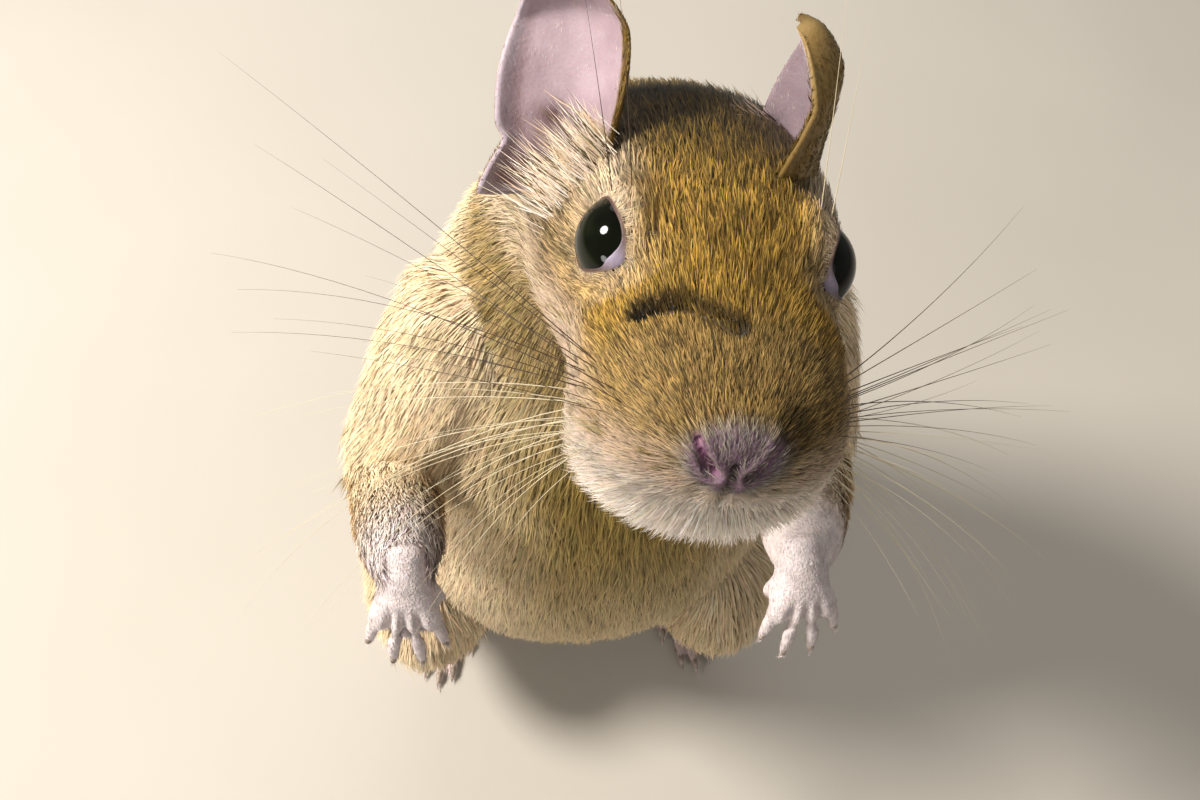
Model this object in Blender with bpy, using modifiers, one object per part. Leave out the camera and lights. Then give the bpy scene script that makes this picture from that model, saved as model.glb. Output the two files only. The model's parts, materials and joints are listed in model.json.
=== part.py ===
"""A degu, life size, as a still display model.

It sits up on its hind feet with both forepaws raised and its head lifted, and its tail lies on the floor.
+X is the animal's left, -Y its front and +Z up. Every closed solid reaches to the tips of the short coat.
"""

import math
import random

import bmesh
import bpy
import numpy as np
from mathutils import Matrix, Vector

MM = 0.001
GAP = 0.3 * MM
SIDES = {"left": 1, "right": -1}

# Pose of the head: the place of the nose tip, and the turns of the head's own frame (x left, y back, z up).
NOSE_TIP = Vector((7.9, -41.2, 158.3)) * MM
HEAD_YAW = math.radians(-1.6)
HEAD_LIFT = math.radians(24.7)
HEAD_ROLL = math.radians(8.0)

# Sections of the head, from the nose tip back, in millimetres:
# behind the nose, height of the widest place, half width, height above and depth below it, squareness.
HEAD_SECTIONS = (
    (0.0, -0.6, 1.5, 1.3, 1.6, 2.2),
    (0.8, -1.0, 3.8, 3.2, 4.6, 2.2),
    (2.2, -2.6, 7.2, 5.7, 7.8, 2.2),
    (4.8, -3.9, 10.6, 8.3, 9.9, 2.2),
    (8.5, -4.5, 12.7, 10.5, 10.6, 2.2),
    (12.5, -4.2, 13.2, 12.1, 11.0, 2.2),
    (16.5, -3.4, 13.0, 13.1, 11.2, 2.25),
    (20.5, -2.2, 13.0, 13.6, 11.8, 2.4),
    (25.0, -1.2, 14.0, 13.8, 13.4, 2.4),
    (30.0, -1.0, 15.4, 14.2, 14.4, 2.25),
    (35.0, -1.4, 16.3, 14.8, 15.2, 2.15),
    (40.0, -2.0, 16.6, 15.0, 15.8, 2.1),
)
HEAD_BACK = 43.0

# Sections from the nape to the rump, in millimetres:
# centre x, y, z, half width, depth to the back, depth to the belly.
BODY_SECTIONS = (
    (8.7, -0.6, 137.6, 17.4, 13.4, 18.6),
    (8.2, 3.6, 130.6, 19.2, 15.2, 20.8),
    (7.3, 5.8, 122.0, 22.0, 18.6, 22.8),
    (6.2, 5.8, 112.0, 25.6, 22.6, 25.0),
    (5.0, 4.8, 100.0, 28.6, 26.2, 27.4),
    (3.5, 3.8, 85.0, 31.0, 28.8, 29.0),
    (2.0, 3.8, 68.0, 33.0, 31.2, 30.6),
    (1.0, 4.6, 50.0, 34.0, 32.6, 30.8),
    (0.5, 5.6, 35.0, 32.6, 32.0, 28.8),
    (0.0, 6.8, 23.0, 27.5, 28.4, 24.4),
    (0.0, 8.0, 14.0, 19.5, 21.5, 17.5),
    (0.0, 8.6, 8.5, 9.5, 11.5, 9.0),
)
BODY_SQUARENESS = 2.1
# How far behind the nose the spine begins to bend down, and where it stands upright.
BEND_FROM, BEND_TO = 24.0, 84.0
NECK_TO = 62.0

EYE_RADIUS = 4.9
EYE_CENTRE = (8.7, 23.15, 5.85)
EYE_AXIS = (0.87, -0.36, 0.34)
EYE_WINDOW = (4.1, 3.5)
LID_THICKNESS, LID_RIM = 0.7, 0.45

EAR_LENGTH, EAR_HALF_WIDTH, EAR_ROOT_HALF_WIDTH = 23.0, 10.0, 8.4
EAR_THICKNESS = 0.9
EAR_SUNK = 5.5
EAR_WIDEST = 0.40
EAR_BLUNTNESS = 2.2
# How far round the cup reaches to either side of its middle, at the root and at the top.
EAR_CURL = (math.radians(104), math.radians(46))
EAR_ROOTS = {"left": (9.8, 36.6, 3.0), "right": (-13.2, 37.5, 2.0)}
EAR_AXES = {"left": (-0.30, -0.10, 0.95), "right": (-0.24, 0.10, 0.96)}
# Each ear is turned by itself: the angle of its opening from straight ahead, towards the animal's right.
EAR_TURNS = {"left": math.radians(85), "right": math.radians(40)}

SHOULDERS = {"left": (24.0, 3.0, 109.0), "right": (-12.0, 3.0, 110.0)}
ELBOWS = {"left": (33.5, -9.0, 88.0), "right": (-28.0, -9.0, 88.0)}
WRISTS = {"left": (25.0, -34.0, 109.0), "right": (-24.2, -33.0, 110.0)}
SHOULDER_RADIUS, ELBOW_RADIUS, WRIST_RADIUS = 12.0, 7.6, 3.2
# Sections of the palm from the wrist to the knuckles:
# place ahead of the wrist, half width, half thickness, height.
PALM_SECTIONS = (
    (-3.4, 1.8, 1.6, 0.1),
    (-2.6, 2.7, 2.5, 0.1),
    (0.6, 2.9, 2.5, 0.0),
    (3.8, 3.7, 2.2, -0.3),
    (6.6, 4.5, 1.9, -0.6),
    (8.0, 4.3, 1.5, -0.8),
    (8.8, 2.6, 0.8, -0.9),
)
HAND_DROOP = math.radians(-38)
HAND_SPREAD = math.radians(4)
FINGER_RADIUS = 0.92
# Each finger from the inner side: place across the knuckles, length, and turn to the side in degrees.
FINGERS = ((-3.1, 6.4, -17), (-1.1, 7.9, -6), (1.1, 7.7, 6), (3.1, 6.2, 18))
FINGER_BEND, FINGER_CLAW = math.radians(38), 1.8
THUMB_ROOT, THUMB_LENGTH = (-3.4, -3.2, -1.5), 1.6

KNEE = (26.0, -17.0, 34.0)
HIP = (20.0, 18.0, 38.0)
THIGH_HALF = (14.0, 28.5, 21.5)
ANKLE = (22.0, 9.0, 9.0)
FOOT_TURN = math.radians(9)
TOE_RADIUS = 1.25
# Each toe from the inner side: place across the foot and ahead of the ankle, length, and turn in degrees.
TOES = (
    (-3.5, -17.0, 5.6, -16),
    (-1.8, -21.2, 7.4, -6),
    (0.1, -22.0, 8.0, 0),
    (2.0, -21.2, 7.2, 7),
    (3.7, -16.2, 5.4, 18),
)
TOE_BEND, TOE_CLAW = math.radians(9), 2.4
# The sole's middle line, and its half widths there.
SOLE_PATH = ((0, 3.0, 3.2), (0, -3.0, 3.4), (0, -11.0, 2.9), (0, -18.5, 2.4), (0, -22.5, 2.0))
SOLE_RADII = (2.6, 3.9, 3.8, 3.6, 2.2)

TAIL_PATH = (
    (0.0, 22.0, 23.0),
    (0.0, 33.0, 14.0),
    (0.8, 42.0, 6.6),
    (3.5, 53.0, 4.3),
    (10.0, 71.0, 3.8),
    (16.0, 92.0, 3.4),
    (14.0, 113.0, 2.9),
    (5.0, 128.0, 2.7),
)
TAIL_RADII = (6.6, 5.6, 4.9, 4.5, 4.0, 3.6, 3.1, 1.7)
TAIL_PARTS = ("tail_root", "tail_middle", "tail_brush")
TAIL_CUTS = (0.0, 0.40, 0.74, 1.0)
BRUSH_TIERS, BRUSH_PER_TIER, BRUSH_SEED = 4, 8, 11
BRUSH_LENGTH, BRUSH_WIDTH = 17.0, 1.7

COLOURS = {
    "coat_brown": (0.36, 0.25, 0.13, 1.0),
    "coat_pale": (0.62, 0.52, 0.36, 1.0),
    "skin_ear": (0.60, 0.50, 0.52, 1.0),
    "skin_paw": (0.72, 0.62, 0.60, 1.0),
    "coat_tail": (0.22, 0.15, 0.09, 1.0),
    "bristle_black": (0.03, 0.025, 0.02, 1.0),
    "eye_black": (0.01, 0.01, 0.01, 1.0),
}


def clear_scene():
    for obj in list(bpy.data.objects):
        bpy.data.objects.remove(obj, do_unlink=True)


def material(slot):
    found = bpy.data.materials.get(slot)
    if found:
        return found
    made = bpy.data.materials.new(slot)
    made.use_nodes = True
    shader = made.node_tree.nodes["Principled BSDF"]
    shader.inputs["Base Color"].default_value = COLOURS[slot]
    shader.inputs["Roughness"].default_value = 0.12 if slot == "eye_black" else 0.85
    shader.inputs["Metallic"].default_value = 0.0
    made.diffuse_color = COLOURS[slot]
    return made


def new_object(name, mesh):
    obj = bpy.data.objects.new(name, mesh)
    bpy.context.scene.collection.objects.link(obj)
    return obj


def finish_mesh(bm, name):
    """Turns a bmesh into a smooth-shaded object whose faces point out."""
    bmesh.ops.recalc_face_normals(bm, faces=bm.faces)
    mesh = bpy.data.meshes.new(name)
    bm.to_mesh(mesh)
    bm.free()
    mesh.shade_smooth()
    return new_object(name, mesh)


def head_frame():
    turn = Matrix.Rotation(HEAD_YAW, 4, "Z") @ Matrix.Rotation(-HEAD_LIFT, 4, "X")
    return Matrix.Translation(NOSE_TIP) @ turn @ Matrix.Rotation(HEAD_ROLL, 4, "Y")


def axes_frame(origin, along, facing):
    """A frame whose z runs along one direction and whose -y faces another as nearly as it can."""
    z = Vector(along).normalized()
    y = -(Vector(facing) - Vector(facing).dot(z) * z).normalized()
    return Matrix.Translation(origin) @ Matrix((y.cross(z), y, z)).transposed().to_4x4()


def smooth_rows(rows, keys, at):
    """Rows of numbers at unevenly spaced keys, read between them along a smooth curve."""
    rows = np.asarray(rows, float)
    keys = np.asarray(keys, float)
    slopes = np.gradient(rows, keys, axis=0)
    at = np.clip(np.asarray(at, float), keys[0], keys[-1])
    i = np.clip(np.searchsorted(keys, at, side="right") - 1, 0, len(keys) - 2)
    span = keys[i + 1] - keys[i]
    t = ((at - keys[i]) / span)[:, None]
    span = span[:, None]
    return (
        (2 * t**3 - 3 * t**2 + 1) * rows[i]
        + (t**3 - 2 * t**2 + t) * span * slopes[i]
        + (3 * t**2 - 2 * t**3) * rows[i + 1]
        + (t**3 - t**2) * span * slopes[i + 1]
    )


def smooth_path(points, radii, count):
    """Points and radii along a smooth curve through the given ones, evenly spaced, in metres."""
    rows = np.column_stack([np.asarray(points, float), np.asarray(radii, float)])
    steps = np.linalg.norm(np.diff(rows[:, :3], axis=0), axis=1)
    keys = np.concatenate([[0.0], np.cumsum(steps)])
    found = smooth_rows(rows, keys, np.linspace(0.0, keys[-1], count))
    return [Vector(row[:3]) * MM for row in found], [row[3] * MM for row in found]


def spine_rows():
    """Every section from the nose to the rump, with its distance along the spine as the key."""
    frame = head_frame()
    rows, keys = [], []
    for behind, height, half_width, above, below, squareness in HEAD_SECTIONS:
        centre = frame @ (Vector((0.0, behind, height)) * MM) / MM
        rows.append((*centre, half_width, above, below, squareness))
        keys.append(behind)
    last = Vector(rows[-1][:3])
    for row in BODY_SECTIONS:
        centre = Vector(row[:3])
        keys.append(keys[-1] + (centre - last).length)
        rows.append((*row, BODY_SQUARENESS))
        last = centre
    return rows, keys


def spine_turn(behind):
    """How the body's cross plane lies at a distance behind the nose: the head's own way, then level."""
    share = min(max((behind - BEND_FROM) / (BEND_TO - BEND_FROM), 0.0), 1.0)
    bent = share * share * (3 - 2 * share)
    slope = HEAD_LIFT + (math.radians(90) - HEAD_LIFT) * bent
    turn = Matrix.Rotation(HEAD_YAW * (1 - bent), 3, "Z") @ Matrix.Rotation(-slope, 3, "X")
    return turn @ Matrix.Rotation(HEAD_ROLL * (1 - bent), 3, "Y")


def section_point(row, behind, angle, grow):
    """A point of one section: angle 0 is the middle of the back, and a quarter turn the animal's left."""
    half_width, above, below = (value * MM + grow for value in row[3:6])
    power = 2.0 / row[6]
    across = math.copysign(abs(math.sin(angle)) ** power, math.sin(angle))
    up = math.copysign(abs(math.cos(angle)) ** power, math.cos(angle))
    local = Vector((half_width * across, 0.0, (above if up > 0 else below) * up))
    return Vector(row[:3]) * MM + spine_turn(behind) @ local


def spine_loft(name, start, end, count, around, grow=0.0, crowd=1.0):
    """A closed length of the body between two places on the spine, as one skin over its sections."""
    rows, keys = spine_rows()
    places = start + (end - start) * np.linspace(0.0, 1.0, count) ** crowd
    sections = smooth_rows(rows, keys, places)
    bm = bmesh.new()
    rings = []
    for row, place in zip(sections, places):
        angles = [2 * math.pi * i / around for i in range(around)]
        rings.append([bm.verts.new(section_point(row, place, angle, grow)) for angle in angles])
    for one, two in zip(rings, rings[1:]):
        for i in range(around):
            bm.faces.new((one[i], one[(i + 1) % around], two[(i + 1) % around], two[i]))
    for ring, row in ((rings[0], sections[0]), (rings[-1], sections[-1])):
        middle = bm.verts.new(Vector(row[:3]) * MM)
        for i in range(around):
            bm.faces.new((ring[i], ring[(i + 1) % around], middle))
    return finish_mesh(bm, name)


def tube(name, points, radii, sides=10):
    """A closed tapered tube along points, made as a bevelled curve."""
    curve = bpy.data.curves.new(name, "CURVE")
    curve.dimensions = "3D"
    curve.bevel_depth = 1.0
    curve.bevel_resolution = max(0, sides // 2 - 2)
    curve.use_fill_caps = True
    spline = curve.splines.new("POLY")
    spline.points.add(len(points) - 1)
    for point, place, radius in zip(spline.points, points, radii):
        point.co = (*place, 1.0)
        point.radius = radius
    drawn = new_object(name, curve)
    mesh = bpy.data.meshes.new_from_object(drawn.evaluated_get(bpy.context.evaluated_depsgraph_get()))
    bpy.data.objects.remove(drawn, do_unlink=True)
    bpy.data.curves.remove(curve)
    bm = bmesh.new()
    bm.from_mesh(mesh)
    bpy.data.meshes.remove(mesh)
    bmesh.ops.remove_doubles(bm, verts=bm.verts, dist=0.00002)
    return finish_mesh(bm, name)


def ellipsoid(name, matrix, half_sizes, segments=24, rings=14, grow=0.0):
    bm = bmesh.new()
    scale = Matrix.Diagonal([*(size * MM + grow for size in half_sizes), 1.0])
    bmesh.ops.create_uvsphere(bm, u_segments=segments, v_segments=rings, radius=1.0, matrix=matrix @ scale)
    return finish_mesh(bm, name)


def drop(objects):
    for obj in objects:
        bpy.data.objects.remove(obj, do_unlink=True)


def bake(obj):
    """Replaces an object's mesh by what its modifiers make of it, keeping only its largest closed surface."""
    evaluated = obj.evaluated_get(bpy.context.evaluated_depsgraph_get())
    mesh = bpy.data.meshes.new_from_object(evaluated)
    old, obj.data = obj.data, mesh
    obj.modifiers.clear()
    bpy.data.meshes.remove(old)
    keep_largest(obj)
    return obj


def keep_largest(obj):
    bm = bmesh.new()
    bm.from_mesh(obj.data)
    bmesh.ops.remove_doubles(bm, verts=bm.verts, dist=0.000005)
    bm.verts.ensure_lookup_table()
    left, groups = set(bm.verts), []
    while left:
        stack, group = [left.pop()], set()
        while stack:
            vert = stack.pop()
            group.add(vert)
            near = {edge.other_vert(vert) for edge in vert.link_edges} & left
            left -= near
            stack.extend(near)
        groups.append(group)
    largest = max(groups, key=len)
    loose = [vert for vert in bm.verts if vert not in largest]
    bmesh.ops.delete(bm, geom=loose, context="VERTS")
    bm.to_mesh(obj.data)
    bm.free()
    obj.data.shade_smooth()


def boolean(obj, others, operation, solver="EXACT"):
    """One Boolean of obj with a collection of closed meshes, which are then removed."""
    if not others:
        return obj
    group = bpy.data.collections.new("tools")
    bpy.context.scene.collection.children.link(group)
    for other in others:
        group.objects.link(other)
    step = obj.modifiers.new(operation.lower(), "BOOLEAN")
    step.operation = operation
    step.operand_type = "COLLECTION"
    step.collection = group
    step.solver = solver
    bake(obj)
    drop(others)
    bpy.data.collections.remove(group)
    return obj


def join(obj, others, solver="EXACT"):
    return boolean(obj, others, "UNION", solver)


def cut(obj, cutters, solver="EXACT"):
    return boolean(obj, cutters, "DIFFERENCE", solver)


def trim(obj, point, normal):
    """Takes away what lies past a plane, on its normal's side, and closes the flat that is left."""
    bm = bmesh.new()
    bm.from_mesh(obj.data)
    geometry = bm.verts[:] + bm.edges[:] + bm.faces[:]
    done = bmesh.ops.bisect_plane(
        bm, geom=geometry, dist=1e-7, plane_co=point, plane_no=normal, clear_outer=True
    )
    rim = [item for item in done["geom_cut"] if isinstance(item, bmesh.types.BMEdge)]
    bmesh.ops.holes_fill(bm, edges=rim)
    bmesh.ops.recalc_face_normals(bm, faces=bm.faces)
    bm.to_mesh(obj.data)
    bm.free()
    return obj


def eye_frame(side):
    """The eye's own frame: z looks out of the socket, and x runs back along the head."""
    sign = SIDES[side]
    centre = Vector((sign * EYE_CENTRE[0], EYE_CENTRE[1], EYE_CENTRE[2])) * MM
    out = Vector((sign * EYE_AXIS[0], EYE_AXIS[1], EYE_AXIS[2])).normalized()
    back = (Vector((0.0, 1.0, 0.12)) - Vector((0.0, 1.0, 0.12)).dot(out) * out).normalized()
    turn = Matrix((back, out.cross(back), out)).transposed().to_4x4()
    return head_frame() @ Matrix.Translation(centre) @ turn


def eye_ball(name, side, grow=0.0):
    return ellipsoid(name, eye_frame(side), (EYE_RADIUS,) * 3, 18, 11, grow)


def lid_rim(side, points=20, around=5):
    """The edge of both lids as one raised rim round the window of the eye, longer at its corners."""
    frame = eye_frame(side)
    reach = EYE_RADIUS * MM + GAP + 0.7 * LID_THICKNESS * MM
    path = []
    for i in range(points):
        angle = 2 * math.pi * i / points
        corner = 1.0 + 0.12 * abs(math.cos(angle)) ** 6
        flat = Vector((EYE_WINDOW[0] * math.cos(angle) * corner, EYE_WINDOW[1] * math.sin(angle), 0.0)) * MM
        path.append(frame @ Vector((flat.x, flat.y, math.sqrt(reach**2 - flat.length**2))))
    bm = bmesh.new()
    rings = []
    for i in range(points):
        along = (path[(i + 1) % points] - path[i - 1]).normalized()
        out = (path[i] - frame.translation).normalized()
        across = along.cross(out).normalized()
        turns = [2 * math.pi * k / around for k in range(around)]
        places = [path[i] + LID_RIM * MM * (math.cos(t) * out + math.sin(t) * across) for t in turns]
        rings.append([bm.verts.new(place) for place in places])
    for i in range(points):
        one, two = rings[i], rings[(i + 1) % points]
        for k in range(around):
            bm.faces.new((one[k], one[(k + 1) % around], two[(k + 1) % around], two[k]))
    return finish_mesh(bm, "lid_rim_" + side)


def lid_window(side):
    """The opening between the lids, as a flat-sided plug that runs straight out of the eye."""
    frame = eye_frame(side)
    bm = bmesh.new()
    sizes = Matrix.Diagonal((EYE_WINDOW[0] * MM, EYE_WINDOW[1] * MM, 1.0, 1.0))
    place = frame @ Matrix.Translation((0.0, 0.0, EYE_RADIUS * MM)) @ sizes
    bmesh.ops.create_cone(
        bm, cap_ends=True, segments=20, radius1=1.0, radius2=1.0, depth=2 * EYE_RADIUS * MM, matrix=place
    )
    return finish_mesh(bm, "window_" + side)


def head_surface(behind, angle):
    rows, keys = spine_rows()
    return section_point(smooth_rows(rows, keys, [behind])[0], behind, math.radians(angle), 0.0)


def mouth_cutter():
    """The mouth as one thin groove that follows both lips from corner to corner."""
    half = ((12.6, 66, 0.25), (9.4, 58, 0.45), (6.4, 44, 0.5), (4.4, 22, 0.5))
    places = [(behind, 180 - turn, radius) for behind, turn, radius in half]
    places.append((3.7, 180, 0.5))
    places += [(behind, 180 + turn, radius) for behind, turn, radius in reversed(half)]
    points = [head_surface(behind, angle) / MM for behind, angle, _ in places]
    path, widths = smooth_path(points, [radius for _, _, radius in places], 17)
    return tube("lip_line", path, widths, 6)


def philtrum_cutter():
    """The groove from the nose pad down to the mouth."""
    points = [head_surface(behind, 180) for behind in (0.6, 1.4, 2.6, 4.1)]
    return tube("philtrum", points, [0.3 * MM, 0.45 * MM, 0.5 * MM, 0.5 * MM], 6)


def nostril_cutter(side):
    """A comma-shaped nostril that opens to the front and side of the nose pad."""
    sign = SIDES[side]
    frame = head_frame()
    places = [(1.8, -0.3, -1.6), (2.8, 0.4, -1.1), (3.5, 1.1, 0.1), (4.0, 1.9, 1.2)]
    points = [frame @ (Vector((sign * x, y, z)) * MM) / MM for x, y, z in places]
    path, widths = smooth_path(points, [0.6, 0.7, 0.5, 0.3], 6)
    return tube("nostril_" + side, path, widths, 6)


def make_head():
    head = spine_loft("head", 0.0, HEAD_BACK, 28, 32, crowd=1.35)
    lids = [eye_ball("lids_" + side, side, GAP + LID_THICKNESS * MM) for side in SIDES]
    join(head, lids + [lid_rim(side) for side in SIDES])
    hollows = [eye_ball("socket_" + side, side, GAP) for side in SIDES]
    hollows += [lid_window(side) for side in SIDES]
    hollows += [nostril_cutter(side) for side in SIDES]
    hollows += [mouth_cutter(), philtrum_cutter()]
    return cut(head, hollows)


def make_eye(side):
    return eye_ball("eye_" + side, side)


def ear_half_width(up):
    """Half the width of the ear's sheet, from its root in the head to its blunt top."""
    if up < EAR_WIDEST:
        share = math.sin(0.5 * math.pi * max(up, 0.0) / EAR_WIDEST)
        return EAR_ROOT_HALF_WIDTH + (EAR_HALF_WIDTH - EAR_ROOT_HALF_WIDTH) * share
    share = (up - EAR_WIDEST) / (1 - EAR_WIDEST)
    return EAR_HALF_WIDTH * max(1 - share**EAR_BLUNTNESS, 0.004) ** (1 / EAR_BLUNTNESS)


def ear_shell(name, side, across=12, high=13):
    """The ear as a cupped sheet, rolled at its root and open above, with a lobe low on its hind edge."""
    facing = (-math.sin(EAR_TURNS[side]), -math.cos(EAR_TURNS[side]), 0.0)
    frame = head_frame() @ axes_frame(Vector(EAR_ROOTS[side]) * MM, EAR_AXES[side], facing)
    hind = SIDES[side]
    bm = bmesh.new()
    rows = []
    for j in range(high + 1):
        rise = -EAR_SUNK + (EAR_LENGTH + EAR_SUNK) * (1 - (1 - j / high) ** 1.25)
        up = rise / EAR_LENGTH
        curl = EAR_CURL[0] + (EAR_CURL[1] - EAR_CURL[0]) * min(max(up, 0.0), 0.8) / 0.8
        bend = ear_half_width(up) / curl
        lobe = 0.30 * math.exp(-(((up - 0.12) / 0.13) ** 2))
        row = []
        for i in range(across + 1):
            arc = 2 * i / across - 1
            reach = arc * (1 + lobe) if arc * hind > 0 else arc
            x = bend * math.sin(curl * reach)
            y = bend * (math.cos(curl * reach) - 0.5) + 1.6 * up * up
            droop = 1.5 * max(up, 0.0) * (arc * ear_half_width(up) / EAR_HALF_WIDTH) ** 2
            row.append(bm.verts.new(frame @ (Vector((x, y, rise - droop)) * MM)))
        rows.append(row)
    for one, two in zip(rows, rows[1:]):
        for i in range(across):
            bm.faces.new((one[i], one[i + 1], two[i + 1], two[i]))
    ear = finish_mesh(bm, name)
    shell = ear.modifiers.new("thickness", "SOLIDIFY")
    shell.thickness = EAR_THICKNESS * MM
    shell.offset = 0.0
    shell.use_even_offset = True
    return bake(ear)


def make_ear(side):
    ear = ear_shell("ear_" + side, side)
    return cut(ear, [spine_loft("head_room", 0.0, HEAD_BACK + 10, 26, 36, GAP)])


def upper_arm(name, side, grow=0.0):
    shoulder, elbow = Vector(SHOULDERS[side]), Vector(ELBOWS[side])
    way = (elbow - shoulder).normalized()
    places = [shoulder - 7 * way, shoulder - 3 * way, shoulder + 6 * way]
    places += [elbow - 7 * way, elbow, elbow + 5 * way]
    radii = [4.5, 10.0, SHOULDER_RADIUS, 9.2, ELBOW_RADIUS, 3.0]
    path, widths = smooth_path(places, radii, 12)
    return tube(name, path, [width + grow for width in widths], 16)


def forearm(name, side, grow=0.0):
    elbow, wrist = Vector(ELBOWS[side]), Vector(WRISTS[side])
    middle = elbow.lerp(wrist, 0.5) + Vector((0.0, -1.5, -1.5))
    way = (wrist - middle).normalized()
    places = [elbow, middle, wrist - 4 * way, wrist]
    path, widths = smooth_path(places, [6.6, 6.0, 4.5, WRIST_RADIUS], 9)
    return tube(name, path, [width + grow for width in widths], 14)


def hand_frame(side):
    """The hand's frame: -y to the fingertips, z out of its back."""
    turn = Matrix.Rotation(SIDES[side] * HAND_SPREAD, 4, "Z") @ Matrix.Rotation(-HAND_DROOP, 4, "X")
    return Matrix.Translation(Vector(WRISTS[side]) * MM) @ turn


def digit(name, frame, root, length, radius, bend, turn, claw):
    """One finger or toe with its claw: it leaves the palm level, and bends down to the claw's tip."""
    way = Vector((math.sin(turn), -math.cos(turn), 0.0))
    down = Vector((0.0, 0.0, -1.0))
    places, radii = [Vector(root) - 2.0 * way], [radius]
    place, slope = Vector(root), 0.0
    for width in (1.0, 0.95, 0.85):
        slope += bend / 3
        places.append(place.copy())
        radii.append(radius * width)
        place = place + length / 3 * (math.cos(slope) * way + math.sin(slope) * down)
    places.append(place.copy())
    radii.append(radius * 0.6)
    finger = tube(name, [frame @ (p * MM) for p in places], [r * MM for r in radii], 6)
    heading = math.cos(slope) * way + math.sin(slope) * down
    arch = Vector((0.0, 0.0, 0.15))
    tips = (place - 0.9 * heading, place + 0.5 * claw * heading + arch, place + claw * heading)
    nail_radii = (0.6 * radius, 0.42 * radius, 0.1)
    nail = tube(name + "_claw", [frame @ (p * MM) for p in tips], [r * MM for r in nail_radii], 4)
    return [finger, nail]


def palm(name, frame, around=14):
    """The palm and the back of the hand as one wedge: narrow at the wrist and widest at the knuckles."""
    bm = bmesh.new()
    rings = []
    for ahead, half_width, half_thick, height in PALM_SECTIONS:
        ring = []
        for i in range(around):
            turn = 2 * math.pi * i / around
            place = Vector((half_width * math.cos(turn), -ahead, height + half_thick * math.sin(turn)))
            ring.append(bm.verts.new(frame @ (place * MM)))
        rings.append(ring)
    for one, two in zip(rings, rings[1:]):
        for i in range(around):
            bm.faces.new((one[i], one[(i + 1) % around], two[(i + 1) % around], two[i]))
    for ring in (rings[0], rings[-1]):
        bm.faces.new(ring)
    return finish_mesh(bm, name)


def make_hand(side):
    sign = SIDES[side]
    frame = hand_frame(side)
    hand = palm("hand_" + side, frame)
    pieces = []
    for number, (across, length, turn) in enumerate(FINGERS):
        root = (sign * across, -7.0 + 0.15 * across * across, -0.8)
        name, way = "finger%d" % number, sign * math.radians(turn)
        pieces += digit(name, frame, root, length, FINGER_RADIUS, FINGER_BEND, way, FINGER_CLAW)
    root = (sign * THUMB_ROOT[0], *THUMB_ROOT[1:])
    pieces += digit("thumb", frame, root, THUMB_LENGTH, 0.8, math.radians(20), -sign * math.radians(40), 0.6)
    return join(hand, pieces)


def thigh(name, side, grow=0.0):
    sign = SIDES[side]
    hip = Vector((sign * HIP[0], HIP[1], HIP[2]))
    knee = Vector((sign * KNEE[0], KNEE[1], KNEE[2]))
    centre = hip.lerp(knee, 0.50) * MM
    way = (knee - hip).normalized()
    frame = axes_frame(centre, (0.0, 0.2, 1.0), way)
    return ellipsoid(name, frame, (THIGH_HALF[0], THIGH_HALF[1], THIGH_HALF[2]), 22, 13, grow)


def shank(name, side, grow=0.0):
    sign = SIDES[side]
    knee = Vector((sign * KNEE[0], KNEE[1] + 8.0, KNEE[2] - 6.0))
    ankle = Vector((sign * ANKLE[0], ANKLE[1], ANKLE[2]))
    middle = knee.lerp(ankle, 0.5) + Vector((sign * 1.5, 0.0, -3.0))
    places = [knee + Vector((0.0, -4.0, 2.0)), knee, middle, ankle, ankle + Vector((0.0, 2.6, -2.8))]
    path, widths = smooth_path(places, [4.0, 8.0, 7.4, 5.0, 3.6], 10)
    return tube(name, path, [width + grow for width in widths], 14)


def foot_frame(side):
    """The foot's frame: -y to the toes, z up, with its origin on the floor under the ankle."""
    sign = SIDES[side]
    place = Matrix.Translation(Vector((sign * ANKLE[0], ANKLE[1], 0.0)) * MM)
    return place @ Matrix.Rotation(sign * FOOT_TURN, 4, "Z")


def make_foot(side):
    sign = SIDES[side]
    frame = foot_frame(side)
    path, widths = smooth_path(SOLE_PATH, SOLE_RADII, 7)
    foot = tube("foot_" + side, [frame @ p for p in path], widths, 12)
    ankle = [frame @ (Vector((0, 1.5, 8.5)) * MM), frame @ (Vector((0, -1.2, 3.0)) * MM)]
    pieces = [tube("ankle", ankle, [3.4 * MM, 3.2 * MM], 10)]
    ball = frame @ Matrix.Translation(Vector((0, -19.0, 2.0)) * MM)
    pieces.append(ellipsoid("ball", ball, (4.6, 4.2, 2.5), 14, 8))
    for number, (across, ahead, length, turn) in enumerate(TOES):
        root = (sign * across, ahead, 1.7)
        name, way = "toe%d" % number, sign * math.radians(turn)
        pieces += digit(name, frame, root, length, TOE_RADIUS, TOE_BEND, way, TOE_CLAW)
    join(foot, pieces)
    return trim(foot, Vector((0.0, 0.0, 0.0)), Vector((0.0, 0.0, -1.0)))


def tail_path(start, end, count, grow=0.0):
    points, radii = smooth_path(TAIL_PATH, TAIL_RADII, 61)
    places = np.linspace(start * 60, end * 60, count)
    found_points, found_radii = [], []
    for place in places:
        i = min(int(place), 59)
        found_points.append(points[i].lerp(points[i + 1], place - i))
        found_radii.append(radii[i] * (1 - place + i) + radii[i + 1] * (place - i) + grow)
    return found_points, found_radii


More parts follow.
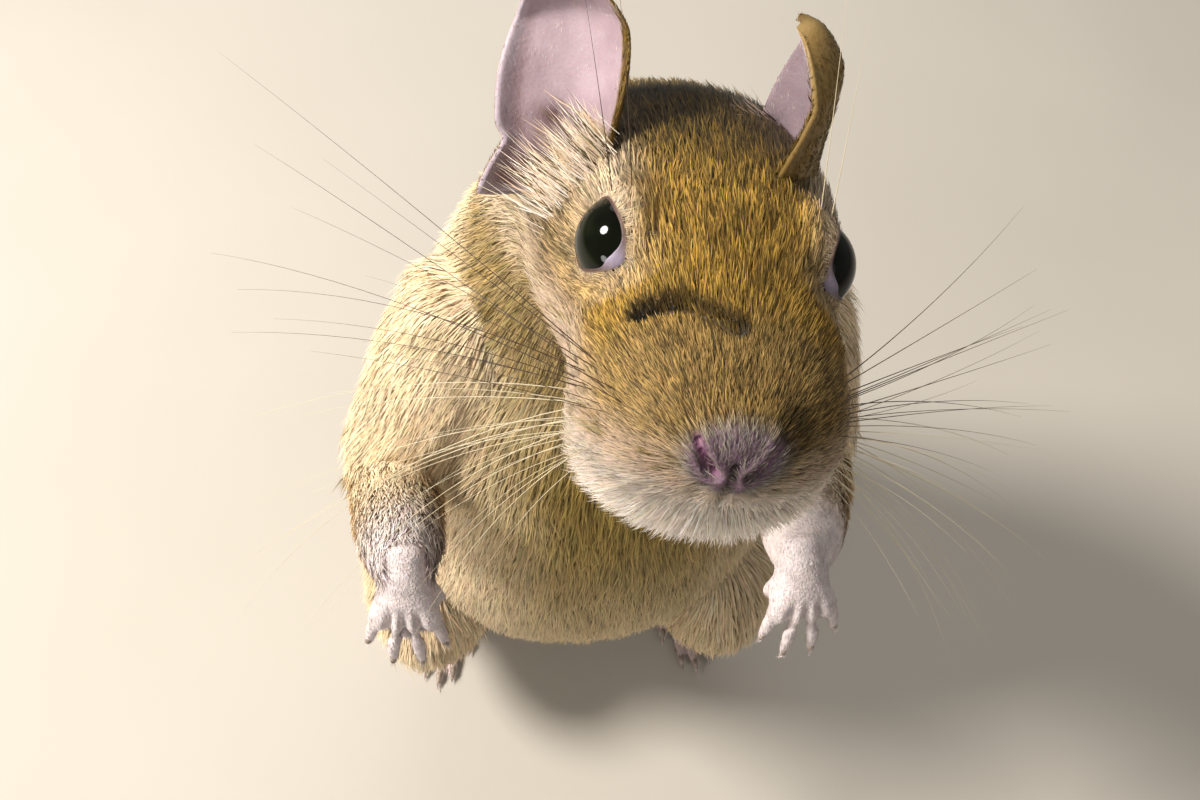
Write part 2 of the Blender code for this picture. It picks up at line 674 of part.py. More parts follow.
def bristle_lock(name, root, way, out, length, width):
    """One flat, tapered lock: it leaves the tail along its lie, stands out a little, and bends back to it."""
    side_way = way.cross(out).normalized()
    bm = bmesh.new()
    rings = []
    for share, half, thick, lift in ((0.0, 0.8, 0.55, -0.9), (0.35, 1.0, 0.5, 0.7), (0.75, 0.6, 0.35, 1.8)):
        centre = root + way * length * share + out * lift * MM
        corners = (side_way * width * half, out * thick * MM, -side_way * width * half, -out * thick * MM)
        rings.append([bm.verts.new(centre + corner) for corner in corners])
    tip = bm.verts.new(root + way * length + out * 2.1 * MM)
    for one, two in zip(rings, rings[1:]):
        for i in range(4):
            bm.faces.new((one[i], one[(i + 1) % 4], two[(i + 1) % 4], two[i]))
    for i in range(4):
        bm.faces.new((rings[-1][i], rings[-1][(i + 1) % 4], tip))
    bm.faces.new(rings[0])
    bmesh.ops.triangulate(bm, faces=bm.faces)
    return finish_mesh(bm, name)


def make_tail():
    """The tail in three lengths; the last one carries the brush of bristles that names the species."""
    floor = (Vector((0.0, 0.0, 0.0)), Vector((0.0, 0.0, -1.0)))
    made = []
    for number, name in enumerate(TAIL_PARTS):
        start, end = TAIL_CUTS[number], TAIL_CUTS[number + 1]
        last = number == len(TAIL_PARTS) - 1
        points, radii = tail_path(start, end, 10 if last else 12)
        if not last:
            way = (points[-1] - points[-2]).normalized()
            points[-1] = points[-1] - GAP * way
        made.append(tube(name, points, radii, 14))
    brush = made[-1]
    draw = random.Random(BRUSH_SEED)
    locks = []
    for tier in range(BRUSH_TIERS):
        share = TAIL_CUTS[2] + (0.99 - TAIL_CUTS[2]) * (0.10 + 0.86 * tier / (BRUSH_TIERS - 1))
        for i in range(BRUSH_PER_TIER):
            at = share + draw.uniform(-0.012, 0.012)
            (back, root, ahead), (_, radius, _) = tail_path(at - 0.02, min(at + 0.02, 1.0), 3)
            way = (ahead - back).normalized()
            turn = 2 * math.pi * (i + 0.5 * (tier % 2) + draw.uniform(-0.18, 0.18)) / BRUSH_PER_TIER
            level = way.cross(Vector((0.0, 0.0, 1.0))).normalized()
            out = math.cos(turn) * level.cross(way) + math.sin(turn) * level
            if out.z < -0.2:
                continue
            place = root + out * radius * 0.8
            lean = way
            if out.z < 0.3:
                lean = (way + draw.uniform(0.05, 0.12) * Vector((0.0, 0.0, 1.0))).normalized()
            length = BRUSH_LENGTH * MM * (1 - 0.08 * tier) * draw.uniform(0.9, 1.08)
            locks.append(bristle_lock("lock", place, lean, out, length, BRUSH_WIDTH * MM))
    join(brush, locks)
    return [trim(part, *floor) for part in made]


def centre_on_floor(parts):
    """Moves the whole model so that the middle of its box stands over the origin."""
    lows, highs = [], []
    for part in parts:
        corners = np.array([vert.co for vert in part.data.vertices])
        lows.append(corners.min(axis=0))
        highs.append(corners.max(axis=0))
    low, high = np.min(lows, axis=0), np.max(highs, axis=0)
    shift = Matrix.Translation((-(low[0] + high[0]) / 2, -(low[1] + high[1]) / 2, 0.0))
    for part in parts:
        part.data.transform(shift)


def main():
    clear_scene()
    parts = {"head": make_head()}
    rows, keys = spine_rows()
    neck = spine_loft("neck", HEAD_BACK + 0.4, NECK_TO, 7, 32)
    torso = spine_loft("torso", NECK_TO + 0.4, keys[-1], 18, 30)
    for side in SIDES:
        parts["eye_" + side] = make_eye(side)
        parts["ear_" + side] = make_ear(side)
        parts["upper_arm_" + side] = upper_arm("upper_arm_" + side, side)
        fore = forearm("forearm_" + side, side)
        parts["forearm_" + side] = cut(fore, [upper_arm("room", side, GAP)])
        parts["hand_" + side] = cut(make_hand(side), [forearm("room", side, GAP)])
        parts["thigh_" + side] = thigh("thigh_" + side, side)
        parts["shank_" + side] = cut(shank("shank_" + side, side), [thigh("room", side, GAP)])
        parts["foot_" + side] = cut(make_foot(side), [shank("room", side, GAP)])
    cut(neck, [upper_arm("room_" + side, side, GAP) for side in SIDES])
    shapes = (upper_arm, forearm, thigh, shank)
    limbs = [shape("room_" + side, side, GAP) for side in SIDES for shape in shapes]
    parts["neck"] = neck
    parts["torso"] = cut(torso, limbs)
    tail = make_tail()
    cut(tail[0], [spine_loft("torso_room", NECK_TO, keys[-1], 18, 30, GAP)])
    parts.update({part.name: part for part in tail})
    slots = {
        "ear": "skin_ear", "eye": "eye_black", "hand": "skin_paw", "foot": "skin_paw", "tail": "coat_tail",
        "forearm": "coat_pale", "neck": "coat_brown",
    }
    for name, part in parts.items():
        slot = "bristle_black" if name == "tail_brush" else slots.get(name.split("_")[0], "coat_brown")
        part.data.materials.clear()
        part.data.materials.append(material(slot))
    model = bpy.data.collections.new("degu")
    bpy.context.scene.collection.children.link(model)
    for part in parts.values():
        bpy.context.scene.collection.objects.unlink(part)
        model.objects.link(part)
    centre_on_floor(list(parts.values()))


main()
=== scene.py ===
"""The looks of a life-size still model of a degu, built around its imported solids.

One skin lies inside the solids, and short fur of thin tapered blades covers it out to their surface.
Places and sizes are in millimetres, and become metres where a mesh is made. The head has a frame of its
own: x to the animal's left, y back from the nose tip, z up.
"""

import json
import math

import bmesh
import bpy
import numpy as np
from mathutils import Matrix, Vector
from mathutils.bvhtree import BVHTree
from mathutils.kdtree import KDTree

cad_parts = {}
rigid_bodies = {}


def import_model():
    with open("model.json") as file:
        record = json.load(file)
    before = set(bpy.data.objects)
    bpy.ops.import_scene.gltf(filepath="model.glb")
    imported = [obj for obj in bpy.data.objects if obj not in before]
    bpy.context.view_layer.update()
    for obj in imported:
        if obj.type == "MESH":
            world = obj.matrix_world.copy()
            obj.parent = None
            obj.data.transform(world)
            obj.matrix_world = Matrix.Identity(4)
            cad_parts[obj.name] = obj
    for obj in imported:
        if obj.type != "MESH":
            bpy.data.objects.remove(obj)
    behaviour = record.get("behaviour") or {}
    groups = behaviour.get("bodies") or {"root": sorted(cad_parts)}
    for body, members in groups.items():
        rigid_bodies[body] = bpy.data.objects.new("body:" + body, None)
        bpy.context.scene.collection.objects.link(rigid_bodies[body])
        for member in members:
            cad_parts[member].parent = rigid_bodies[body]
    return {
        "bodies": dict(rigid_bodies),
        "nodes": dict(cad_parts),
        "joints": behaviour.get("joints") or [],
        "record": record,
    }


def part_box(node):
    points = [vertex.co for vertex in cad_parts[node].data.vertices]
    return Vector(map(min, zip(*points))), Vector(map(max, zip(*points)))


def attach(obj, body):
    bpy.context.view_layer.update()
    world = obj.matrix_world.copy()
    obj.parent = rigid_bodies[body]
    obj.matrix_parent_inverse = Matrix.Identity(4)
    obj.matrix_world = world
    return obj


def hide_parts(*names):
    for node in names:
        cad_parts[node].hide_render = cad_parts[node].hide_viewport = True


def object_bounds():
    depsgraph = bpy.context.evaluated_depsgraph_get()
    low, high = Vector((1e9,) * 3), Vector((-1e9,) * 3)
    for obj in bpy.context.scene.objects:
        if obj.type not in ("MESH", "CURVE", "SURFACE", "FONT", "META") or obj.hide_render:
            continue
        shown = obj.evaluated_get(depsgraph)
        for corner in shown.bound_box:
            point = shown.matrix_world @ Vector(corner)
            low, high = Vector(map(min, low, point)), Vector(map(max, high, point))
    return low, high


MM = 0.001
FULL_TURN = 2 * math.pi
SIDES = {"left": 1, "right": -1}
SEED = 20

# The head's pose and the places that the pieces share, as the solids have them.
HEAD_YAW, HEAD_LIFT, HEAD_ROLL = math.radians(-1.6), math.radians(24.7), math.radians(8.0)
NOSE_TIP = (7.9, -41.2, 158.3)
EYE_CENTRE = (8.7, 23.15, 5.85)
EYE_AXIS = (0.87, -0.36, 0.34)
EYE_BACK = (0.0, 1.0, 0.12)
EYE_RADIUS, SOCKET_FILL = 4.9, 0.1
SHOULDERS = {"left": (24.0, 3.0, 109.0), "right": (-12.0, 3.0, 110.0)}
SHOULDERS_MIDDLE = 5.0
ELBOWS = {"left": (33.5, -9.0, 88.0), "right": (-28.0, -9.0, 88.0)}
WRISTS = {"left": (25.0, -34.0, 109.0), "right": (-24.2, -33.0, 110.0)}
TAIL_PATH = (
    (0.0, 22.0, 23.0), (0.0, 33.0, 14.0), (0.8, 42.0, 6.6), (3.5, 53.0, 4.3),
    (10.0, 71.0, 3.8), (16.0, 92.0, 3.4), (14.0, 113.0, 2.9), (5.0, 128.0, 2.7),
)
TAIL_RADII = (6.6, 5.6, 4.9, 4.5, 4.0, 3.6, 3.1, 1.7)
# The tail in steps, the step where the bare core inside its brush starts, and how fine the core's tip is.
TAIL_STEPS, CORE_START, CORE_TIP, CORE_SIDES = 90, 60, 0.2, 12

# Hands and feet. Each finger: its place across, its length and its angle in degrees. Each toe: also how far
# ahead it starts, after its place across.
HAND_DROOP, HAND_SPREAD, HAND_REACH = math.radians(-38), math.radians(4), 16
FINGER_BEND, TOE_BEND, JOINTS = math.radians(38), math.radians(9), 3
FINGER_ROOT, TOE_HEIGHT = (-7.0, -0.8), 1.7
FOOT_TURN, ANKLE = math.radians(9), (22.0, 9.0)
# The grooves between the fingers: where they end ahead of the wrist, their length, depth and half width.
GROOVE_END, GROOVE_PAST, GROOVE_LENGTH, GROOVE_DEPTH, GROOVE_HALF = -8.2, 1.2, 5.0, 0.9, 0.55
FINGERS = ((-3.1, 6.4, -17), (-1.1, 7.9, -6), (1.1, 7.7, 6), (3.1, 6.2, 18))
TOES = (
    (-3.5, -17.0, 5.6, -16), (-1.8, -21.2, 7.4, -6), (0.1, -22.0, 8.0, 0),
    (2.0, -21.2, 7.2, 7), (3.7, -16.2, 5.4, 18),
)
# Claws: how far the root sits back in the digit and above its end, then length and radius.
FINGER_CLAW, TOE_CLAW = (0.35, 0.25, 1.9, 0.40), (0.45, 0.3, 2.5, 0.55)
CLAW_RINGS, CLAW_SIDES = 7, 8

# The solids that the skin replaces. The last one is the tail's brush, where the skin is only a thin core.
FLESH = (
    "head", "neck", "torso", "upper_arm_left", "upper_arm_right", "forearm_left", "forearm_right",
    "hand_left", "hand_right", "thigh_left", "thigh_right", "shank_left", "shank_right",
    "foot_left", "foot_right", "tail_root", "tail_middle", "tail_brush",
)
COARSE_PARTS = ("torso", "neck", "upper_arm", "thigh", "shank", "tail_root", "tail_middle", "tail_brush")
# How far the solids swell before they are joined, the size of a voxel, the share of faces that coarse parts
# keep, the rounds of smoothing, and how deep the skin lies as a share of the coat's height.
GROWN, VOXEL, COARSE_SHARE = 0.28, 0.42, 0.45
SMOOTHING, SMOOTH_IN, SMOOTH_OUT = 4, 0.55, -0.58
SKIN_SINK = 0.85
SOLE_FACING, SOLE_HEIGHT = -0.75, 1.0
UNWRAP_ANGLE, UNWRAP_MARGIN = math.radians(66), 0.002
LOWEST_SKIN, LOWEST_HAIR = 0.02, 0.12

# The nose and mouth. Boxes that are split finer: half the width, how far back, the lowest and highest place.
NOSE_LIMITS = ((7.5, 7.0, -9.5, 5.0), (6.2, 4.2, -6.5, 4.2))
NOSE_MIDDLE = 0.4
NOSTRIL_LINE = ((1.6, 0.1, -1.35), (2.2, 0.3, -0.7), (2.9, 0.7, 0.3), (3.3, 1.1, 1.0))
PHILTRUM_LINE = ((0.0, -0.1, -0.6), (0.0, 0.0, -2.2), (0.0, 0.5, -4.8), (0.0, 2.1, -8.5))
CREASE_LINE = ((-8.3, 11.9, 5.1), (-6.3, 11.9, 6.3), (-4.2, 11.6, 7.0), (-2.1, 10.6, 6.9), (0.3, 9.5, 6.4))
NOSE_PAD_CENTRE, NOSE_PAD_HALF, NOSE_EVEN_HALF = (0.2, 0.5, -0.5), (4.9, 3.4, 3.6), (6.0, 5.0, 4.6)
NOSTRIL_DEPTH, PHILTRUM_DEPTH, CREASE_DEPTH = 1.0, 0.75, 1.3
WHORL = (0.1, -3.0, -2.7)

# The eyes: the opening between the lids as places back along the head and up, round the eye's axis.
LID_OUTLINE = (
    (3.9, 1.3), (2.6, 2.5), (0.5, 3.1), (-1.3, 3.0), (-2.8, 2.2), (-3.7, 0.9), (-3.4, -0.4),
    (-2.5, -1.7), (-1.3, -2.9), (0.2, -3.6), (1.3, -3.4), (2.4, -2.8), (3.5, -1.8), (4.1, -0.3),
)
# The lids' rim as angles past their edge and heights over the eyeball.
LID_PROFILE = (
    (-0.05, -0.30), (-0.005, 0.0), (0.005, 0.06), (0.025, 0.10),
    (0.05, 0.10), (0.08, 0.05), (0.11, -0.08), (0.15, -0.35),
)
# The skin's angles past the lids' edge where it covers the ball and where it has left it, its gap over the
# ball there, and how deep it is sunk where the ball shows.
LID_COVER, LID_SLOPE = 0.07, 0.62
LID_GAP, LID_SUNK = 0.03, 0.9
LID_HAIRS, LID_COLUMNS, LID_STEPS = 1300, 120, 96
CARUNCLE_ANGLE, CARUNCLE_REACH, CARUNCLE_SPREAD = math.radians(168), 0.20, 0.36
CORNEA_BULGE, CORNEA_SPREAD = 0.06, 0.9
EYE_RINGS, EYE_COLUMNS = 40, 64

# The ears: one cupped sheet each, whose arc runs from edge to edge and whose up runs from root to top.
EAR_LENGTH, EAR_HALF_WIDTH, EAR_ROOT_HALF_WIDTH = 23.0, 10.0, 8.4
EAR_SUNK, EAR_HIDDEN = 4.0, 0.6
EAR_WIDEST, EAR_BLUNTNESS = 0.40, 2.2
EAR_CURL = (math.radians(104), math.radians(46))
EAR_ROOTS = {"left": (9.8, 36.6, 3.0), "right": (-13.2, 37.5, 2.0)}
EAR_AXES = {"left": (-0.30, -0.10, 0.95), "right": (-0.24, 0.10, 0.96)}
EAR_TURNS = {"left": math.radians(95), "right": math.radians(40)}
# Painted shade on each ear's inner skin: the left one is darkened as if it lay in shade.
EAR_PAINTED_SHADE = {"left": 0.72, "right": 1.0}
EAR_HALF_THICKNESS, EAR_EDGE_ROLL = 0.22, 1.1
EAR_ROWS, EAR_COLUMNS, EAR_STEP = 64, 73, 1e-3
LOBE_UP, LOBE_SPREAD, LOBE_DEPTH = 0.11, 0.11, 3.4
NOTCH_UP, NOTCH_SPREAD, NOTCH_DEPTH = 0.29, 0.05, 0.10
FRONT_STRIP = 0.50
TUFT_HAIRS, TUFT_ARC, TUFT_LENGTH = 520, 0.90, 10.5

# The coat of each part: length, lift off the skin in degrees, a blade's width, blades to a square millimetre.
COAT = {
    "head": (4.2, 19, 0.17, 17.0),
    "neck": (6.0, 15, 0.19, 12.0),
    "torso": (8.0, 14, 0.26, 7.8),
    "upper_arm": (6.0, 14, 0.20, 10.5),
    "forearm": (4.0, 14, 0.20, 10.0),
    "hand": (0.9, 13, 0.08, 15.0),
    "thigh": (8.0, 15, 0.26, 7.5),
    "shank": (5.0, 17, 0.22, 8.5),
    "foot": (1.5, 14, 0.13, 9.0),
    "tail_root": (3.5, 20, 0.22, 9.0),
    "tail_middle": (2.6, 22, 0.18, 9.0),
    "tail_brush": (12.0, 24, 0.26, 9.0),
}
# Length, lift and width of the hair on the pad of the nose, and of that at the lids' edge.
NOSE_HAIR, LID_EDGE_HAIR = (1.15, 24, 0.055), (0.9, 12, 0.08)
# Places along a blade where it has points, from its root to its tip.
HEAD_LEVELS, BODY_LEVELS = (0.0, 0.38, 0.72, 1.0), (0.0, 0.5, 1.0)
# Each piece of the coat: its parts, its levels, how far its hairs lean together, the share of them that
# lead, and the axis along which it is split.
COAT_PIECES = {
    "coat_head": (("head",), HEAD_LEVELS, 0.45, 0.10, 0),
    "coat_neck": (("neck",), BODY_LEVELS, 0.4, 0.08, 0),
    "coat_torso": (("torso",), BODY_LEVELS, 0.4, 0.08, 0),
    "coat_arms": (("upper_arm", "forearm"), BODY_LEVELS, 0.4, 0.08, 0),
    "coat_legs": (("thigh", "shank"), BODY_LEVELS, 0.4, 0.08, 0),
    "coat_paws": (("hand", "foot"), BODY_LEVELS, 0.0, 0.0, 0),
    "coat_tail": (("tail_root", "tail_middle", "tail_brush"), BODY_LEVELS, 0.3, 0.08, 1),
}
# How much single hairs differ, as shares of their own length, lift and width, and in their shade and tint.
LENGTH_RANGE, LIFT_RANGE, WIDTH_RANGE = (0.72, 1.15), (0.6, 1.35), (0.75, 1.25)
SHADE_RANGE, TINT_SPREAD = 0.38, 0.05
LIE_BLUR, LIE_SCATTER = 22, 0.11
BLADE_ROLL, BLADE_BEND, BLADE_SINK, SOFTNESS, FOLLOW = 0.35, 0.05, 0.10, 2.0, 0.8
UV_PATCH = 0.003
PIECE_TRIANGLES = 190000

# Whiskers. Those over the eye have a place on the head, a lean to the side, a length and a colour.
WHISKER_ROWS, WHISKER_COLUMNS = 6, 6
WHISKER_POINTS, WHISKER_SIDES, WHISKER_TAPER = 14, 5, 0.88
WHISKER_PAST_SIDE, WHISKER_PAST_FRONT, WHISKER_FEWEST = 3.7, 7.5, 4
BROW_WHISKER_WAY, BROW_WHISKER_DROOP = (0.62, 0.78), (0.02, 0.10, -0.05)
# The muzzle's bed of whiskers: how far aside it is, where it starts behind and above, its length and height.
BED_ASIDE, BED_BACK, BED_TOP, BED_LENGTH, BED_HEIGHT = 13.0, 11.5, 2.0, 7.5, 9.5
WHISKER_LONGEST, WHISKER_SHORTER, WHISKER_SINK = 47, 30, 0.6
WHISKER_RADIUS, WHISKER_FINER, BROW_WHISKER_RADIUS = 0.062, 0.024, 0.07
BROW_WHISKERS = ((9.2, 24.1, 11.1, 0.05, 20.0, "dark"), (10.9, 25.3, 10.1, 0.12, 18.0, "dark"))

# The stage. The floor's height and the lights are in metres.
FLOOR_HALF, FLOOR_HEIGHT = 1500, -0.0002
WORLD_COLOUR, WORLD_STRENGTH = (1.0, 0.98, 0.95, 1.0), 0.25
# Lights: place and aim from the nose, width, power and colour.
LIGHTS = {
    "key": ((-0.38, 0.10, 0.34), (0.0, 0.0, 0.0), 0.16, 5.6, (1.0, 0.96, 0.90)),
    "fill": ((0.35, -0.35, 0.35), (0.0, 0.0, 0.0), 0.5, 0.35, (1.0, 0.97, 0.93)),
    "side": ((-0.38, -0.30, 0.04), (-0.02, 0.0, -0.04), 0.12, 0.7, (1.0, 0.98, 0.95)),
    "back": ((0.0, 0.6, 0.3), (0.0, 0.0, 0.0), 0.5, 1.2, (1.0, 1.0, 1.0)),
}
CAMERA_FROM_NOSE = (-19.56, -38.97, 92.57)
CAMERA_RIGHT, CAMERA_UP = (0.9963, -0.0677, 0.057), (0.0362, 0.8974, 0.441)
CAMERA_LENS, CAMERA_SENSOR = 36.0, 36.0
CAMERA_NEAR, CAMERA_FAR = 0.005, 10.0


def srgb(red, green, blue):
    """A colour as it is seen, 0 to 255, turned into the linear values that materials take."""
    seen = np.array([red, green, blue], float) / 255
    return np.where(seen <= 0.04045, seen / 12.92, ((seen + 0.055) / 1.055) ** 2.4)


GOLDEN, CROWN, BAND = srgb(150, 117, 50), srgb(74, 57, 18), srgb(34, 28, 10)
MUZZLE, CHEEK, LIP, BROW = srgb(132, 106, 60), srgb(174, 152, 130), srgb(236, 224, 210), srgb(224, 202, 172)
# The chest's ochre is partly its own colour and partly painted shade, darkened as it lies under the chin.
BACK, FLANK, CHEST_OCHRE_AND_SHADE, OLIVE = srgb(132, 108, 62), srgb(229, 207, 171), srgb(122, 98, 16), srgb(116, 100, 50)
PAW, FOOT_SKIN, NOSE_SKIN = srgb(218, 206, 204), srgb(206, 186, 180), srgb(102, 80, 92)
TAIL_TOP, TAIL_UNDER, BRUSH = srgb(104, 78, 50), srgb(178, 150, 112), srgb(34, 26, 20)
NOSTRIL, DARK_HAIR = srgb(126, 80, 108), srgb(40, 31, 15)
EAR_INNER, EAR_RIM, EAR_LOW = srgb(164, 146, 152), srgb(178, 166, 174), srgb(144, 112, 112)
# The ear's hollow is red brown skin, deepened with painted shade.
EAR_HOLLOW, EAR_DOWN = srgb(60, 24, 16), srgb(200, 188, 182)
EAR_OCHRE, EAR_BACK = srgb(106, 83, 32), srgb(138, 113, 62)
PALE_COAT = 0.42

# Marks on the head, each a place and its spread. The dark band between the ears: how far back it lies, the
# half of its width that is plain, and how softly it ends.
BROW_MARK, EAR_MARK = ((11.2, 26.5, 9.6), (2.6, 5.5, 2.6)), ((12.5, 35, 8.0), (3.5, 5, 4))
# The nose's mark is painted shade: a dark patch beside the left nostril, on that side only.
NOSE_PAINTED_SHADE = ((4.9, 2.4, 2.4), (1.7, 2.0, 1.7))
BAND_BACK, BAND_HALF, BAND_EDGE = 44.5, 1, 3.2


def unit(rows):
    return rows / np.maximum(np.linalg.norm(rows, axis=-1, keepdims=True), 1e-12)


def dot(one, two):
    return np.sum(one * two, axis=-1)


def across_normal(ways, normals):
    """Ways laid flat on the surface that the normals stand on."""
    return unit(ways - dot(ways, normals)[:, None] * normals)


def smoothstep(low, high, value):
    share = np.clip((value - low) / (high - low), 0.0, 1.0)
    return share * share * (3 - 2 * share)


def hill(away, spread):
    """1 where a distance is 0, falling smoothly to 0 over a spread."""
    return np.exp(-((away / spread) ** 2))


def bump(mark, places, sign=1):
    """A smooth hill of height 1 round a mark's place, or round the one that mirrors it."""
    centre, spread = mark
    away = (places - np.array(centre) * (sign, 1, 1)) / spread
    return np.exp(-np.sum(away * away, axis=-1))


def mix(base, colour, share):
    """Colours moved towards another one by a share for each row."""
    share = np.clip(share, 0, 1)[:, None]
    return base * (1 - share) + colour * share


def ripple(places, size, seed, waves=9):
    """Smooth noise of about -1 to 1 whose hills are a given size across."""
    draw = np.random.default_rng(seed)
    ways = unit(draw.normal(size=(waves, 3))) * (FULL_TURN / size) * draw.uniform(0.6, 1.5, (waves, 1))
    phases = draw.uniform(0, FULL_TURN, waves)
    return np.sin(places @ ways.T + phases).sum(axis=1) / math.sqrt(waves)


def along_path(rows, count):
    """Rows evenly spaced along a smooth curve through the given rows, which start with a place."""
    rows = np.asarray(rows, float)
    steps = np.linalg.norm(np.diff(rows[:, :3], axis=0), axis=1)
    keys = np.concatenate([[0.0], np.cumsum(steps)])
    slopes = np.gradient(rows, keys, axis=0)
    at = np.linspace(0.0, keys[-1], count)
    i = np.clip(np.searchsorted(keys, at, side="right") - 1, 0, len(keys) - 2)
    span = (keys[i + 1] - keys[i])[:, None]
    t = (at - keys[i])[:, None] / span
    start, end = (2 * t**3 - 3 * t**2 + 1) * rows[i], (3 * t**2 - 2 * t**3) * rows[i + 1]
    return start + end + (t**3 - 2 * t**2 + t) * span * slopes[i] + (t**3 - t**2) * span * slopes[i + 1]


def line_distance(places, line):
    """How far each place is from a bent line."""
    best = np.full(len(places), np.inf)
    line = np.asarray(line, float)
    for start, end in zip(line, line[1:]):
        way = end - start
        share = np.clip((places - start) @ way / (way @ way), 0, 1)
        best = np.minimum(best, np.linalg.norm(places - start - share[:, None] * way, axis=1))
    return best


def values_of(items, name, width, kind=np.float32):
    """One attribute of a mesh's vertices, edges, corners or triangles, as rows."""
    found = np.empty(len(items) * width, kind)
    items.foreach_get(name, found)
    return found.reshape(-1, width)


def points_of(mesh):
    """A mesh's points in millimetres, as rows."""
    return values_of(mesh.vertices, "co", 3).astype(float) / MM


def normals_of(mesh):
    return values_of(mesh.vertex_normals, "vector", 3).astype(float)


def edges_of(mesh):
    return values_of(mesh.edges, "vertices", 2, np.int32)


def triangles_of(mesh):
    """The corner vertices and the corner loops of each triangle."""
    mesh.calc_loop_triangles()
    return [values_of(mesh.loop_triangles, name, 3, np.int32) for name in ("vertices", "loops")]


def as_floats(rows):
    return np.asarray(rows, np.float32).ravel()


def set_points(mesh, points):
    mesh.vertices.foreach_set("co", as_floats(np.asarray(points) * MM))
    mesh.update()


def blur(values, edges, rounds, weight=0.5):
    """Moves each vertex's value towards the mean of its neighbours', a number of times."""
    count = len(values)
    degree = np.maximum(np.bincount(edges.ravel(), minlength=count), 1).astype(float)
    flat = values.reshape(count, -1).astype(float)
    for _ in range(rounds):
        total = np.empty_like(flat)
        for column in range(flat.shape[1]):
            total[:, column] = np.bincount(edges[:, 0], flat[edges[:, 1], column], count)
            total[:, column] += np.bincount(edges[:, 1], flat[edges[:, 0], column], count)
        flat = (1 - weight) * flat + weight * total / degree[:, None]
    return flat.reshape(values.shape)


def show(name, data):
    """An object in the scene for a mesh, light or camera."""
    obj = bpy.data.objects.new(name, data)
    bpy.context.scene.collection.objects.link(obj)
    return obj


def new_object(name, points, faces):
    """A smooth object from points in millimetres and faces that all have the same number of corners."""
    faces = np.asarray(faces, np.int32)
    mesh = bpy.data.meshes.new(name)
    mesh.vertices.add(len(points))
    mesh.vertices.foreach_set("co", as_floats(np.asarray(points) * MM))
    mesh.loops.add(faces.size)
    mesh.loops.foreach_set("vertex_index", faces.ravel())
    mesh.polygons.add(len(faces))
    mesh.polygons.foreach_set("loop_start", np.arange(0, faces.size, faces.shape[1], dtype=np.int32))
    mesh.polygons.foreach_set("use_smooth", np.full(len(faces), True))
    mesh.update(calc_edges=True)
    return show(name, mesh)


def paint(obj, name, colours):
    """Stores one colour for each vertex."""
    rows = np.ones((len(colours), 4), np.float32)
    rows[:, :3] = colours
    obj.data.attributes.new(name, "FLOAT_COLOR", "POINT").data.foreach_set("color", rows.ravel())


def mark(obj, name, values):
    """Stores one number for each vertex."""
    obj.data.attributes.new(name, "FLOAT", "POINT").data.foreach_set("value", as_floats(values))


def unwrap(obj, places):
    """Stores a place in the bake's picture for each corner."""
    obj.data.uv_layers.new(name="OFBake").data.foreach_set("uv", as_floats(places))


def dress(obj, material, slot, *nodes):
    """Gives a piece its material, hangs it on the root body, and hides the nodes that it stands for."""
    obj.data.materials.append(material)
    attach(obj, "root")
    if nodes:
        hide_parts(*nodes)


def apply_modifiers(obj):
    evaluated = obj.evaluated_get(bpy.context.evaluated_depsgraph_get())
    mesh = bpy.data.meshes.new_from_object(evaluated)
    old, obj.data = obj.data, mesh
    obj.modifiers.clear()
    bpy.data.meshes.remove(old)


def change_mesh(mesh, change):
    """Opens a mesh, lets a function change it, and writes it back."""
    bm = bmesh.new()
    bm.from_mesh(mesh)
    change(bm)
    bm.to_mesh(mesh)
    bm.free()


def face_outwards(bm):
    bmesh.ops.recalc_face_normals(bm, faces=bm.faces)


def weld(bm):
    """Joins points that lie on one another, then turns all faces outwards."""
    bmesh.ops.remove_doubles(bm, verts=bm.verts, dist=1e-6)
    face_outwards(bm)


def grid_faces(rows, columns, closed=False):
    """Quads between rows of points; closed joins the last column to the first."""
    i, j = np.meshgrid(np.arange(rows - 1), np.arange(columns if closed else columns - 1), indexing="ij")
    i, j = i.ravel(), j.ravel()
    k = (j + 1) % columns
    return np.column_stack([i * columns + j, i * columns + k, (i + 1) * columns + k, (i + 1) * columns + j])


def tube_rows(path, radii, sides):
    """Points of a tapered tube round a path, ring by ring."""
    path, radii = np.asarray(path, float), np.asarray(radii, float)
    ways = unit(np.gradient(path, axis=0))
    across = np.cross(ways, (0.12, 0.21, 0.97))
    short = np.linalg.norm(across, axis=1, keepdims=True) < 0.05
    across = unit(np.where(short, np.cross(ways, (1, 0, 0)), across))
    over = np.cross(ways, across)
    angles = FULL_TURN * np.arange(sides) / sides
    around = np.cos(angles)[None, :, None] * across[:, None] + np.sin(angles)[None, :, None] * over[:, None]
    return (path[:, None] + radii[:, None, None] * around).reshape(-1, 3)


def tubes(name, parts, sides):
    """One object of several tapered tubes, each given as a path and its radii."""
    points, faces, start = [], [], 0
    for path, radii in parts:
        points.append(tube_rows(path, radii, sides))
        faces.append(grid_faces(len(path), sides, closed=True) + start)
        start += len(points[-1])
    return new_object(name, np.vstack(points), np.vstack(faces))


def part_kind(name):
    """A node's name without its side."""
    return name.replace("_left", "").replace("_right", "")


KINDS = np.array([part_kind(name) for name in FLESH])


class Head:
    """The head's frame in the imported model, found from where its eyes are."""

    def __init__(self):
        turn = Matrix.Rotation(HEAD_YAW, 4, "Z") @ Matrix.Rotation(-HEAD_LIFT, 4, "X")
        turn = turn @ Matrix.Rotation(HEAD_ROLL, 4, "Y")
        self.turn = np.array(turn.to_3x3())
        corners = [np.array(corner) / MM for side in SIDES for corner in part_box("eye_" + side)]
        middle = np.mean(corners, axis=0)
        self.nose = middle - self.turn @ np.array([0.0, EYE_CENTRE[1], EYE_CENTRE[2]])

    def local(self, points):
        return (points - self.nose) @ self.turn

    def place(self, points):
        return np.asarray(points) @ self.turn.T + self.nose

    def way(self, direction):
        return np.asarray(direction) @ self.turn.T


